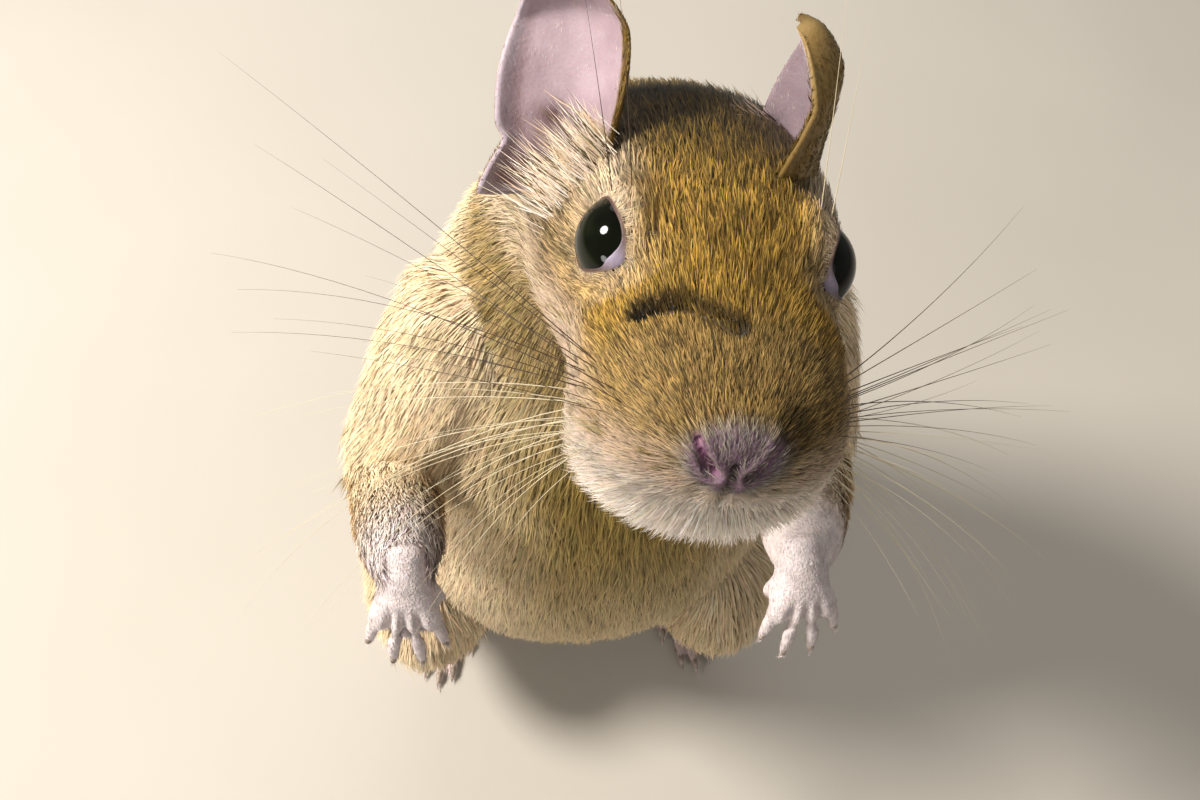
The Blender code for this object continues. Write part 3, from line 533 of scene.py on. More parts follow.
class Eye:
    """An eye's centre and axes in the head's frame: back, up and out of the socket."""

    def __init__(self, side):
        sign = SIDES[side]
        self.out = unit(np.array([sign * EYE_AXIS[0], EYE_AXIS[1], EYE_AXIS[2]]))
        self.centre = np.array([sign * EYE_CENTRE[0], EYE_CENTRE[1], EYE_CENTRE[2]])
        back = np.array(EYE_BACK)
        self.back = unit(back - dot(back, self.out) * self.out)
        up = np.cross(self.back, self.out)
        self.up = up if up[2] > 0 else -up

    def spoke(self, turn):
        """The way at an angle round the axis, flat across it."""
        return np.cos(turn)[..., None] * self.back + np.sin(turn)[..., None] * self.up

    def way(self, tilt, turn):
        """The way at an angle from the axis and an angle round it."""
        return np.sin(tilt)[..., None] * self.spoke(turn) + np.cos(tilt)[..., None] * self.out

    def past_lids(self, local):
        """Each place's distance from the eye's centre, and its angle past the lids' edge."""
        away = local - self.centre
        distance = np.linalg.norm(away, axis=1)
        turn = np.arctan2(away @ self.up, away @ self.back)
        tilt = np.arccos(np.clip((away @ self.out) / np.maximum(distance, 1e-9), -1, 1))
        angles, reach = lid_opening(LID_STEPS)
        return distance, tilt - np.interp(turn, angles, reach, period=FULL_TURN)


def ball_radius(tilt):
    """The eyeball's radius at an angle from its axis: the cornea bulges a little."""
    return EYE_RADIUS * (1 + CORNEA_BULGE * hill(tilt, CORNEA_SPREAD))


def lid_opening(count):
    """Angles round the eye's axis, and how far from the axis the lids' edge is at each, both in radians."""
    closed = np.array(LID_OUTLINE + LID_OUTLINE[:1])
    flat = np.column_stack([closed, np.zeros(len(closed))])
    curve = along_path(flat, 240)[:-1, :2]
    angles = np.arctan2(curve[:, 1], curve[:, 0])
    reach = np.arcsin(np.clip(np.linalg.norm(curve, axis=1) / EYE_RADIUS, 0, 0.96))
    order = np.argsort(angles)
    wanted = FULL_TURN * np.arange(count) / count - math.pi
    return wanted, np.interp(wanted, angles[order], reach[order], period=FULL_TURN)


def solids_as_one(nodes, head, shift):
    """Copies of the solids, swollen so that they run into one another, with the eyes' sockets filled."""
    whole = bmesh.new()
    for name in FLESH[:-1]:
        part = bmesh.new()
        part.from_mesh(nodes[name].data)
        weld(part)
        part.normal_update()
        for vert in part.verts:
            vert.co += vert.normal * GROWN * MM
        mesh = bpy.data.meshes.new("part")
        part.to_mesh(mesh)
        part.free()
        whole.from_mesh(mesh)
        bpy.data.meshes.remove(mesh)
    filled = (EYE_RADIUS + SOCKET_FILL) * MM
    for side in SIDES:
        place = Matrix.Translation(Vector(head.place(Eye(side).centre)) * MM)
        bmesh.ops.create_icosphere(whole, subdivisions=4, radius=filled, matrix=place)
    mesh = bpy.data.meshes.new("flesh")
    whole.to_mesh(mesh)
    whole.free()
    skin = show("skin", mesh)
    core = along_path(np.column_stack([np.array(TAIL_PATH), TAIL_RADII]), TAIL_STEPS)[CORE_START:]
    core = np.vstack([core, core[-1] + (core[-1] - core[-2]) * 0.6])
    core[-1, 3] = CORE_TIP
    core_mesh = tubes("tail_core", [(core[:, :3] + shift, core[:, 3] + GROWN)], CORE_SIDES)

    def join(bm):
        bm.from_mesh(core_mesh.data)
        bmesh.ops.holes_fill(bm, edges=bm.edges)

    change_mesh(skin.data, join)
    bpy.data.objects.remove(core_mesh)
    return skin


def surface_tree(objects):
    """One search tree over the surfaces of several solids, and the number of each face's solid."""
    vertices, polygons, owner = [], [], []
    for number, obj in enumerate(objects):
        corners = triangles_of(obj.data)[0] + len(vertices)
        vertices += points_of(obj.data).tolist()
        polygons += corners.tolist()
        owner += [number] * len(corners)
    return BVHTree.FromPolygons(vertices, polygons), np.array(owner)


def nearest_parts(nodes, points):
    """For each place, the number of the flesh node whose surface is nearest."""
    tree, owner = surface_tree([nodes[name] for name in FLESH])
    return owner[[tree.find_nearest(point)[2] for point in points.tolist()]]


def remesh(skin, nodes):
    """Turns the joined solids into one smooth closed surface, finest on the head and paws."""
    step = skin.modifiers.new("one_surface", "REMESH")
    step.mode = "VOXEL"
    step.voxel_size = VOXEL * MM
    apply_modifiers(skin)
    points, edges = points_of(skin.data), edges_of(skin.data)
    for _ in range(SMOOTHING):
        for weight in (SMOOTH_IN, SMOOTH_OUT):
            points = blur(points, edges, 1, weight)
    set_points(skin.data, points)
    coarse = np.isin(KINDS[nearest_parts(nodes, points)], COARSE_PARTS)
    group = skin.vertex_groups.new(name="coarse")
    group.add(np.nonzero(coarse)[0].tolist(), 1.0, "REPLACE")
    step = skin.modifiers.new("fewer", "DECIMATE")
    step.ratio = COARSE_SHARE
    step.vertex_group = "coarse"
    apply_modifiers(skin)
    skin.vertex_groups.clear()


def refine_nose(skin, head):
    """Splits the faces of the nose pad and the lips below it, so that their forms are crisp."""

    def split(bm):
        for half, back, low, high in NOSE_LIMITS:
            x, behind, up = head.local(np.array([vert.co for vert in bm.verts]) / MM).T
            inside = (np.abs(x - NOSE_MIDDLE) < half) & (behind < back) & (up > low) & (up < high)
            bm.verts.ensure_lookup_table()
            chosen = [edge for edge in bm.edges if all(inside[vert.index] for vert in edge.verts)]
            bmesh.ops.subdivide_edges(bm, edges=chosen, cuts=1, use_grid_fill=True, smooth=0.0)
            bm.verts.index_update()
        bmesh.ops.triangulate(bm, faces=[face for face in bm.faces if len(face.verts) > 4])

    change_mesh(skin.data, split)
    skin.data.shade_smooth()


def nostril_distance(local, side):
    return line_distance(local, np.array(NOSTRIL_LINE) * (SIDES[side], 1, 1))


def nose_pad(local):
    """1 on the bare pad of the nose, falling to 0 round it."""
    away = (local - NOSE_PAD_CENTRE) / NOSE_PAD_HALF
    return 1 - smoothstep(0.75, 1.1, np.linalg.norm(away, axis=1))


def shape_face(local, normals):
    """Moves the skin of the face, in the head's frame: the nose pad, nostrils, philtrum and nose crease."""
    pad = nose_pad(local)
    move = 0.15 * pad
    for side in SIDES:
        away = nostril_distance(local, side)
        move += 0.30 * hill(away - 0.95, 0.4) * pad
        move -= NOSTRIL_DEPTH * hill(away, 0.46 - 0.09 * local[:, 2])
    away = line_distance(local, PHILTRUM_LINE)
    move -= PHILTRUM_DEPTH * hill(away, 0.38)
    move += 0.25 * hill(away - 1.0, 0.5) * smoothstep(-1.0, -3.0, local[:, 2])
    move -= CREASE_DEPTH * hill(line_distance(local, CREASE_LINE), 0.75)
    return local + normals * move[:, None]


def open_eyes(local):
    """Sinks the skin inside the lids' edge, where the eyeball shows, and lays it round the ball beyond."""
    for side in SIDES:
        eye = Eye(side)
        distance, past = eye.past_lids(local)
        near = smoothstep(EYE_RADIUS + 4.5, EYE_RADIUS + 2.0, distance)
        ball = ball_radius(np.arccos(np.clip(unit(local - eye.centre) @ eye.out, -1, 1)))
        slope = ball + LID_GAP + np.maximum(distance - ball, 0.2) * smoothstep(LID_COVER, LID_SLOPE, past)
        target = np.where(past < LID_COVER, EYE_RADIUS - LID_SUNK, slope)
        target = distance * (1 - near) + target * near
        scale = (target / np.maximum(distance, 1e-6))[:, None]
        local = eye.centre + (local - eye.centre) * scale
    return local


def hand_frame(side):
    """The matrix from a hand's own frame, with its fingers along -y, to the model before it was packed."""
    turn = Matrix.Rotation(SIDES[side] * HAND_SPREAD, 4, "Z") @ Matrix.Rotation(-HAND_DROOP, 4, "X")
    return np.array(Matrix.Translation(Vector(WRISTS[side])) @ turn)


def foot_frame(side):
    """The matrix from a foot's own frame, with its toes along -y."""
    ankle = Vector((SIDES[side] * ANKLE[0], ANKLE[1], 0.0))
    return np.array(Matrix.Translation(ankle) @ Matrix.Rotation(SIDES[side] * FOOT_TURN, 4, "Z"))


def part_fingers(places, normals, edges):
    """Evens out the skin round the wrists, then sinks it between the fingers as far as the knuckles."""
    even = blur(places, edges, 40)
    for side, sign in SIDES.items():
        near = np.linalg.norm(places - np.array(WRISTS[side]), axis=1)
        share = smoothstep(7.5, 3.5, near)[:, None]
        places = places * (1 - share) + even * share
        frame = hand_frame(side)
        local = (places - frame[:3, 3]) @ frame[:3, :3]
        mine = np.linalg.norm(local, axis=1) < HAND_REACH
        for one, two in zip(FINGERS, FINGERS[1:]):
            middle, turn = sign * (one[0] + two[0]) / 2, sign * math.radians((one[2] + two[2]) / 2)
            way = np.array([math.sin(turn), -math.cos(turn)])
            tip = np.array([middle, GROOVE_END]) + GROOVE_PAST * way
            base = tip - GROOVE_LENGTH * way
            span = tip - base
            along = np.clip((local[:, :2] - base) @ span / (span @ span), 0, 1)
            away = np.linalg.norm(local[:, :2] - base - along[:, None] * span, axis=1)
            depth = GROOVE_DEPTH * hill(away, GROOVE_HALF) * smoothstep(0.0, 0.6, along) * mine
            places = places - normals * depth[:, None]
    return places


def shape_skin(nodes, head, shift):
    """The finished skin and its edges, with each vertex's place, its place on the head and its part."""
    skin = solids_as_one(nodes, head, shift)
    remesh(skin, nodes)
    refine_nose(skin, head)
    points, edges = points_of(skin.data), edges_of(skin.data)
    labels = nearest_parts(nodes, points)
    normals = blur(normals_of(skin.data), edges, 3)
    local = head.local(points)
    sizes = coat_sizes(points - shift, local, labels, edges)
    depth = SKIN_SINK * sizes[:, 0] * np.sin(np.radians(sizes[:, 1]))
    depth = blur(depth * (1 - nose_pad(local)), edges, 8)
    points = points - unit(normals) * depth[:, None]
    points = part_fingers(points - shift, unit(normals), edges) + shift
    even = blur(points, edges, 50)
    share = smoothstep(1.3, 1.0, np.linalg.norm((local - NOSE_PAD_CENTRE) / NOSE_EVEN_HALF, axis=1))[:, None]
    points = points * (1 - share) + even * share
    local = open_eyes(shape_face(head.local(points), unit(normals) @ head.turn))
    points = head.place(local)
    points[:, 2] = np.maximum(points[:, 2], LOWEST_SKIN)
    set_points(skin.data, points)
    return skin, points, local, labels, edges


def side_of(name):
    return "right" if name.endswith("_right") else "left"


def lie_of_coat(places, local, labels, normals, edges, head):
    """The way the hair lies at each vertex: back from the nose, down the body and out along the limbs."""
    tall = places[:, 2]
    share = smoothstep(152, 118, tall)[:, None]
    ways = (1 - share) * head.way((0.0, 1.0, 0.0)) + share * np.array([0.0, 0.12, -1.0])
    rump = (smoothstep(45, 15, tall) * smoothstep(5, 30, places[:, 1]))[:, None]
    ways = ways * (1 - rump) + rump * np.array([0.0, 0.8, -0.6])
    tail = along_path(TAIL_PATH, 80)
    tangents = unit(np.gradient(tail, axis=0))
    face = head.way(unit(local - np.array(WHORL)))
    for number, name in enumerate(FLESH):
        mine = labels == number
        kind, side = KINDS[number], side_of(name)
        limbs = {
            "upper_arm": unit(np.subtract(ELBOWS[side], SHOULDERS[side])),
            "forearm": unit(np.subtract(WRISTS[side], ELBOWS[side])),
            "hand": (0.0, -math.cos(HAND_DROOP), math.sin(HAND_DROOP)),
            "thigh": (0.0, -0.25, -1.0),
            "shank": (0.0, 0.3, -1.0),
            "foot": (SIDES[side] * 0.16, -1.0, -0.1),
        }
        if kind == "head":
            ways[mine] = face[mine]
        elif kind in limbs:
            ways[mine] = limbs[kind]
        elif kind.startswith("tail"):
            near = np.argmin(np.linalg.norm(places[mine][:, None] - tail[None], axis=2), axis=1)
            ways[mine] = tangents[near]
    for side in SIDES:
        eye = Eye(side)
        away = local - eye.centre
        near = np.linalg.norm(away, axis=1) < 10
        away = away - (away @ eye.out)[:, None] * eye.out
        push = hill(np.linalg.norm(away, axis=1) - 3.0, 3.0) * near
        ways = ways + 0.9 * push[:, None] * head.way(unit(away))
    return across_normal(blur(unit(ways), edges, LIE_BLUR), normals)


def coat_sizes(places, local, labels, edges):
    """Length, lift, blade width and density of the coat at each vertex."""
    rows = np.array([COAT[kind] for kind in KINDS], float)[labels]
    behind, high = local[:, 1], local[:, 2]
    # The head: short over the nose, longer on the cheeks and behind, with a fringe at the lips.
    cheek = smoothstep(7, 13, np.abs(local[:, 0])) * smoothstep(10, 30, behind) * smoothstep(4, -4, high)
    lips = smoothstep(-4.5, -8.0, high) * smoothstep(12, 6, behind)
    length = 1.5 + 2.4 * smoothstep(2, 26, behind) + 0.8 * smoothstep(34, 46, behind)
    length += 1.6 * cheek + 2.3 * lips
    lift = 17 + 4 * cheek + 16 * lips
    width = 0.08 + 0.055 * smoothstep(4, 26, behind) + 0.015 * cheek
    density = 34 - 11 * smoothstep(3, 24, behind)
    head = labels == FLESH.index("head")
    rows[head] = np.column_stack([length, lift, width, density])[head]
    # The left forearm: shorter and finer towards the wrist.
    wrist, elbow = np.array(WRISTS["left"]), np.array(ELBOWS["left"])
    share = (places - wrist) @ (elbow - wrist) / dot(elbow - wrist, elbow - wrist)
    up = smoothstep(0.0, 0.8, share)
    arm = labels == FLESH.index("forearm_left")
    length = 1.0 + 5.0 * smoothstep(0.15, 1.0, share)
    rows[arm] = np.column_stack([length, 6 + 8 * up, 0.10 + 0.14 * up, 20 - 10 * up])[arm]
    rows = blur(rows, edges, 20)
    # The pad of the nose and the crease over it.
    pad = nose_pad(local)
    for column, size in enumerate(NOSE_HAIR):
        rows[:, column] = rows[:, column] * (1 - pad) + size * pad
    rows[:, 3] = rows[:, 3] * (1 - 0.5 * pad)
    crease = line_distance(local, CREASE_LINE)
    rows[:, 0] *= 1 - 0.60 * hill(crease, 1.5)
    rows[:, 3] *= 1 - 0.60 * hill(crease, 0.5)
    # Round the lids and the nostrils.
    for side in SIDES:
        distance, past = Eye(side).past_lids(local)
        near = distance < EYE_RADIUS + 6
        short = np.where(near, smoothstep(LID_COVER - 0.05, LID_COVER + 0.6, past), 1.0)
        for column, size in enumerate(LID_EDGE_HAIR):
            rows[:, column] = rows[:, column] * short + size * (1 - short)
        rows[:, 3] = np.where(near & (past < LID_COVER - 0.03), 0, rows[:, 3] * (1 + 0.6 * (1 - short)))
        rows[:, 3] *= smoothstep(0.45, 0.8, nostril_distance(local, side))
    rows[:, 3] *= 0.35 + 0.65 * smoothstep(0.2, 0.5, line_distance(local, PHILTRUM_LINE))
    return rows


def body_colours(places, kinds, mottle):
    """The body's colour and share of dark tips: brown above, paler flanks with flecks, ochre below."""
    x, behind, tall = places.T
    facing = smoothstep(14, -16, behind + 0.05 * (tall - 90))
    beside = np.maximum(smoothstep(5, 15, np.abs(x - 3)), facing)
    colour = mix(BACK, FLANK, 0.95 * beside * smoothstep(30, 12, behind))
    # Ochre below the chin: partly the coat's own colour, partly painted shade under the chin.
    below_chin = smoothstep(27, 8, np.abs(x - 6)) * smoothstep(128, 106, tall)
    below_chin *= 0.5 + 0.5 * smoothstep(50, 100, tall)
    colour = mix(colour, CHEST_OCHRE_AND_SHADE, 0.9 * facing * below_chin)
    colour = mix(colour, FLANK, 0.7 * np.isin(kinds, ["upper_arm", "forearm"]))
    flecks = smoothstep(0.2, 1.4, ripple(places * (1, 1, 0.55), 3.4, 6) + 0.5 * mottle)
    colour = mix(colour, OLIVE, 0.34 * flecks + 0.08 * np.clip(mottle, 0, 1))
    return colour, 0.02 + 0.09 * flecks - 0.02 * facing


def head_colours(local, mottle, fine):
    """The head's colour and share of dark tips: golden brown above, beige cheeks and whitish lips."""
    x, behind, high = local.T
    crease, groove = line_distance(local, CREASE_LINE), line_distance(local, PHILTRUM_LINE)
    lifted = high + 0.10 * (behind - 12) + 2.6 * smoothstep(14, 5, behind)
    top = smoothstep(-2.5, 3.5, lifted) * smoothstep(15.5, 9.5, np.abs(x) - 0.10 * behind)
    golden = mix(GOLDEN, CROWN, smoothstep(20, 34, behind))
    streaks = smoothstep(0.2, 1.3, ripple(local * (1.0, 0.45, 1.0), 1.9, 21) + 0.3 * mottle)
    golden = mix(golden, CROWN, 0.55 * streaks * smoothstep(10, 16, behind))
    golden = mix(golden, MUZZLE, smoothstep(12.5, 8.5, behind))
    golden = mix(golden, BACK, smoothstep(42, 54, behind))
    cheeks = mix(CHEEK, FLANK, 0.4 * smoothstep(26, 44, behind))
    spots = smoothstep(0.35, 1.25, ripple(local * (0.8, 0.45, 1.0), 1.7, 14) + 0.35 * mottle)
    fur = mix(mix(cheeks, OLIVE, 0.75 * spots), golden, top)
    lips = smoothstep(-3.0, -7.5, high) * smoothstep(13, 6, behind)
    fur = mix(fur, LIP, lips)
    # Under the jaw: ochre that is partly the coat's own colour and partly painted shade.
    fur = mix(fur, CHEST_OCHRE_AND_SHADE, 0.7 * smoothstep(-7, -11, high) * smoothstep(6, 14, behind))
    band = hill(np.maximum(np.abs(behind - BAND_BACK) - BAND_HALF, 0), BAND_EDGE)
    band = band * smoothstep(5.5, 9, high) * smoothstep(14, 9, np.abs(x - 1))
    fur = mix(fur, BAND, 0.9 * band)
    for side, sign in SIDES.items():
        fur = mix(fur, BROW, 0.95 * bump(BROW_MARK, local, sign))
        distance, past = Eye(side).past_lids(local)
        fur = mix(fur, BROW, 0.45 * hill(past, 0.40) * (distance < EYE_RADIUS + 4))
        fur = mix(fur, BROW * 0.9, 0.6 * bump(EAR_MARK, local, sign))
    # Painted shade: the coat along the nose crease is darkened as the shadow in its fold.
    fur = mix(fur, BAND * 0.6, 0.96 * smoothstep(1.35, 0.75, crease))
    fur = mix(fur, LIP * 0.26, 0.9 * nose_pad(local))
    fur = mix(fur, BAND, 0.8 * smoothstep(0.7, 0.3, groove))
    # Painted shade: a dark patch on the left of the nose, on that side only.
    fur = mix(fur, BAND, 0.85 * bump(NOSE_PAINTED_SHADE, local))
    dark = 0.44 * top + 0.15 * smoothstep(26, 40, behind) + 0.25 * spots * (1 - top) - 0.30 * lips
    dark += 0.12 * fine * top - 0.15 * smoothstep(12, 8, behind)
    # Painted shade: most hairs along the nose crease end dark, as the shadow in its fold.
    dark += 0.9 * smoothstep(1.5, 0.8, crease)
    return fur, np.maximum(dark, 0.95 * band) * (1 - nose_pad(local))


def markings(places, local, labels, edges):
    """The coat's colour at each vertex, and the share of its hairs that end dark."""
    kinds = KINDS[labels]
    mottle, fine = ripple(places, 7.0, 3), ripple(places, 2.2, 4)
    colour, dark = body_colours(places, kinds, mottle)
    fur, on_face = head_colours(local, mottle, fine)
    head_share = blur(np.isin(kinds, ["head", "neck"]).astype(float), edges, 25)
    colour = mix(colour, fur, head_share)
    dark = dark * (1 - head_share) + on_face * head_share
    for side in SIDES:
        wrist, elbow = np.array(WRISTS[side]), np.array(ELBOWS[side])
        mine = np.sign(places[:, 0] - SHOULDERS_MIDDLE) == SIDES[side]
        pale = (kinds == "forearm") * mine * smoothstep(22, 3, (places - wrist) @ unit(elbow - wrist))
        colour = mix(colour, PAW * 0.9, 0.95 * pale)
        dark = dark * (1 - pale)
    for kind, tone, share in (("hand", PAW, 1.0), ("foot", FOOT_SKIN, 1.0), ("shank", FLANK, 0.6)):
        colour = mix(colour, tone, share * (kinds == kind))
    dark = np.where(np.isin(kinds, ["hand", "foot"]), 0.0, dark)
    tail = mix(TAIL_TOP, TAIL_UNDER, smoothstep(0.0, -1.0, places[:, 2] - 4.0))
    tail = np.where((kinds == "tail_brush")[:, None], BRUSH, tail)
    colour = np.where(np.char.startswith(kinds, "tail")[:, None], tail, colour)
    return colour, np.clip(dark, 0, 1)


def paleness(colours):
    """0 for the darkest coat and 1 for the palest, as a column."""
    return np.clip(colours.mean(axis=1) / PALE_COAT, 0, 1)[:, None]


def root_shade(colours):
    """How dark hair is at its root as a share of its own colour: pale hair stays paler there."""
    return 0.09 + 0.78 * paleness(colours)


def skin_colours(colour, local, labels):
    """The skin's own colour: dusky under the coat, bare and pinkish on the paws, and mauve on the nose."""
    tone = colour * root_shade(colour) * 1.2
    tone = np.where(np.isin(KINDS[labels], ["hand", "foot"])[:, None], colour * 0.95, tone)
    tone = mix(tone, NOSE_SKIN, nose_pad(local))
    for side in SIDES:
        tone = mix(tone, NOSTRIL, hill(nostril_distance(local, side), 0.55))
        distance, past = Eye(side).past_lids(local)
        socket = smoothstep(0.9, 0.3, past) * (distance < EYE_RADIUS + 3)
        tone = tone * (1 - 0.55 * socket)[:, None]
    return mix(tone, NOSTRIL * 0.4, 0.6 * hill(line_distance(local, PHILTRUM_LINE), 0.5))


class Blades:
    """Blades of fur over one batch of roots, made into mesh pieces under the limit of triangles."""

    def __init__(self, levels, tree=None):
        self.levels = np.array(levels, float)
        self.tree = tree

    def plant(self, roots, normals, ways, sizes, colours, dark, uvs, draw, clump=0.0, clump_share=0.1):
        """Stands one blade at each root; sizes are rows of length, lift in degrees and width."""
        count = len(roots)
        length = (sizes[:, 0] * draw.uniform(*LENGTH_RANGE, count))[:, None]
        lift = np.radians(sizes[:, 1] * draw.uniform(*LIFT_RANGE, count))[:, None]
        width = (sizes[:, 2] * draw.uniform(*WIDTH_RANGE, count))[:, None]
        across = unit(np.cross(ways, normals))
        ways = unit(ways + draw.normal(0, LIE_SCATTER, (count, 1)) * across)
        across = unit(np.cross(ways, normals))
        roll = draw.normal(0, BLADE_ROLL, (count, 1))
        wide = np.cos(roll) * across + np.sin(roll) * normals
        pull = self.pull(roots, ways, draw, clump, clump_share)
        bend = draw.normal(0, BLADE_BEND, (count, 1)) * length
        follow = self.follow(roots + ways * np.cos(lift) * length, normals, length)
        rings = []
        for level in self.levels:
            rise = np.sin(lift) * (1 - (1 - level) ** 1.6) * length
            run = np.cos(lift) * level * length
            middle = roots + ways * run + normals * (rise - BLADE_SINK) + pull * level**1.5
            middle = middle + across * bend * level**2 + follow * level**2
            middle[:, 2] = np.maximum(middle[:, 2], LOWEST_HAIR)
            if level < 1:
                half = 0.5 * width * (1 - 0.55 * level**2) * (0.75 + 0.25 * min(level / 0.3, 1))
                rings += [middle - wide * half, middle + wide * half]
            else:
                rings.append(middle)
        soft = unit(unit(np.cross(wide, ways)) + SOFTNESS * normals)
        self.points = np.stack(rings, axis=1)
        self.normals = np.repeat(soft[:, None], len(rings), axis=1)
        self.colours = self.hair_colours(colours, dark, count, draw)
        self.uvs = self.patches(uvs)

    def pull(self, roots, ways, draw, clump, clump_share):
        """How far each blade's tip leans to the nearest of the hairs that lead a clump."""
        if not clump:
            return np.zeros_like(roots)
        centres = np.nonzero(draw.random(len(roots)) < clump_share)[0]
        tree = KDTree(len(centres))
        for number, place in enumerate(roots[centres].tolist()):
            tree.insert(place, number)
        tree.balance()
        found = [tree.find(place)[1] for place in roots.tolist()]
        pull = (roots[centres][found] - roots) * clump
        return pull - dot(pull, ways)[:, None] * ways

    def follow(self, ends, normals, length):
        """How far each tip moves to stay as high over a bent surface as over a flat one."""
        if self.tree is None:
            return np.zeros_like(ends)
        found = [self.tree.find_nearest(place)[0] for place in ends.tolist()]
        drop = dot(np.array(found) - ends, normals)[:, None]
        return FOLLOW * np.clip(drop, -0.5 * length, 0.3 * length) * normals

    def hair_colours(self, colours, dark, count, draw):
        """Agouti hair: dusky at the root, with a pale band above and a tip that is dark or pale."""
        ends_dark = (draw.random(count) < dark)[:, None]
        pale = paleness(colours)
        bright = 1 + draw.uniform(-SHADE_RANGE, SHADE_RANGE, (count, 1)) * (1.2 - 0.98 * pale)
        warm = 1 + draw.normal(0, TINT_SPREAD, (count, 3)) * (1, 0.4, 1.2)
        body = colours * bright * warm
        root = body * root_shade(colours)
        band = np.where(ends_dark, body * 0.6, body)
        dark_tip = DARK_HAIR * (1 - 0.5 * pale) + body * (0.22 + 0.25 * pale)
        tip = np.where(ends_dark, dark_tip, body * (1.9 - 0.75 * pale))
        rows = []
        for level in self.levels:
            low, high = smoothstep(0.0, 0.5, level), smoothstep(0.4, 0.95, level)
            tone = (root * (1 - low) + band * low) * (1 - high) + tip * high
            rows += [tone, tone] if level < 1 else [tone]
        return np.stack(rows, axis=1)

    def patches(self, uvs):
        """Each blade's own small patch of the unwrap, where its root stands."""
        rows = []
        for level in self.levels:
            sides = (-0.5, 0.5) if level < 1 else (0.0,)
            rows += [uvs + UV_PATCH * np.array([side, level - 0.5]) for side in sides]
        return np.stack(rows, axis=1)

    def faces(self):
        """The triangles of one blade: two for each step up, and one at its tip."""
        rows = []
        last = 2 * (len(self.levels) - 2)
        for start in range(0, last, 2):
            rows += [(start, start + 1, start + 3), (start, start + 3, start + 2)]
        return np.array(rows + [(last, last + 1, last + 2)])

    def build(self, name, material, slot, order=0):
        """Makes the pieces, split along an axis where they would pass the limit."""
        pattern = self.faces()
        count, each = self.points.shape[:2]
        pieces = max(1, math.ceil(count * len(pattern) / PIECE_TRIANGLES))
        ranked = np.argsort(self.points[:, 0, order], kind="stable")
        for number, chosen in enumerate(np.array_split(ranked, pieces)):
            starts = each * np.arange(len(chosen))
            faces = (pattern[None] + starts[:, None, None]).reshape(-1, 3)
            label = name if pieces == 1 else "%s_%d" % (name, number + 1)
            obj = new_object(label, self.points[chosen].reshape(-1, 3), faces)
            paint(obj, "hair_colour", self.colours[chosen].reshape(-1, 3))
            obj.data.normals_split_custom_set_from_vertices(self.normals[chosen].reshape(-1, 3).tolist())
            unwrap(obj, self.uvs[chosen].reshape(-1, 2)[faces.ravel()])
            dress(obj, material, slot)


class Ground:
    """A surface that hair grows from, with what the hair needs to know at each of its vertices."""

    def __init__(self, obj, fields):
        self.points, self.normals = points_of(obj.data), normals_of(obj.data)
        self.fields = fields
        self.corners, self.loops = triangles_of(obj.data)
        self.uvs = values_of(obj.data.uv_layers[0].data, "uv", 2)
        a, b, c = (self.points[self.corners[:, k]] for k in range(3))
        self.areas = np.linalg.norm(np.cross(b - a, c - a), axis=1) / 2
        self.tree = BVHTree.FromPolygons(self.points.tolist(), self.corners.tolist())

    def scatter(self, chosen, draw):
        """Random places on the chosen triangles, as many as their density asks for."""
        density = self.fields["sizes"][:, 3][self.corners].mean(axis=1)
        counts = self.areas * density * chosen
        total = int(counts.sum())
        picked = np.searchsorted(np.cumsum(counts), draw.random(total) * counts.sum())
        picked = np.minimum(picked, len(counts) - 1)
        one, two = draw.random((2, total))
        over = one + two > 1
        one, two = np.where(over, 1 - one, one), np.where(over, 1 - two, two)
        weights = np.column_stack([1 - one - two, one, two])[:, :, None]

        def read(values, index):
            rows = values[index[picked]]
            rows = rows if rows.ndim == 3 else rows[:, :, None]
            return (rows * weights).sum(axis=1)

        fields = {name: read(values, self.corners) for name, values in self.fields.items()}
        normals = unit(read(self.normals, self.corners))
        return read(self.points, self.corners), normals, read(self.uvs, self.loops), fields


def grow(ground, chosen, name, material, slot, levels, seed, clump=0.35, clump_share=0.1, order=0):
    """Hair all over the chosen triangles of a ground, with slow swirls and patches of shade."""
    draw = np.random.default_rng(seed)
    roots, normals, uvs, fields = ground.scatter(chosen, draw)
    swirl = np.column_stack([ripple(roots, 9.0, seed + k) for k in (1, 2, 3)])
    ways = across_normal(unit(fields["lie"] + 0.10 * swirl), normals)
    tone = fields["colour"] * (1 + 0.12 * ripple(roots, 1.6, seed + 5))[:, None]
    blades = Blades(levels, ground.tree)
    blades.plant(
        roots, normals, ways, fields["sizes"], tone, fields["dark"][:, 0], uvs, draw, clump, clump_share
    )
    blades.build(name, material, slot, order)


def grow_coat(skin, fields, labels, material):
    """The body's coat in its pieces; returns the ground it grows from."""
    ground = Ground(skin, fields)
    kinds = KINDS[labels[ground.corners[:, 0]]]
    for number, (name, (members, levels, clump, share, order)) in enumerate(COAT_PIECES.items()):
        chosen = np.isin(kinds, members)
        grow(ground, chosen, name, material, "coat_brown", levels, SEED + 10 * number, clump, share, order)
    return ground


def below(tree, place):
    """How far a place lies under a closed surface; less than 0 outside it."""
    near, normal, _, distance = tree.find_nearest(place)
    return math.copysign(distance, (near - Vector(place)).dot(normal))


def drop_hidden(obj):
    """Takes away the faces of an ear that lie wholly inside the head."""
    hidden = values_of(obj.data.attributes["hidden"].data, "value", 1)[:, 0]

    def drop(bm):
        bm.faces.ensure_lookup_table()
        gone = [face for face in bm.faces if all(hidden[vert.index] for vert in face.verts)]
        bmesh.ops.delete(bm, geom=gone, context="FACES")

    change_mesh(obj.data, drop)


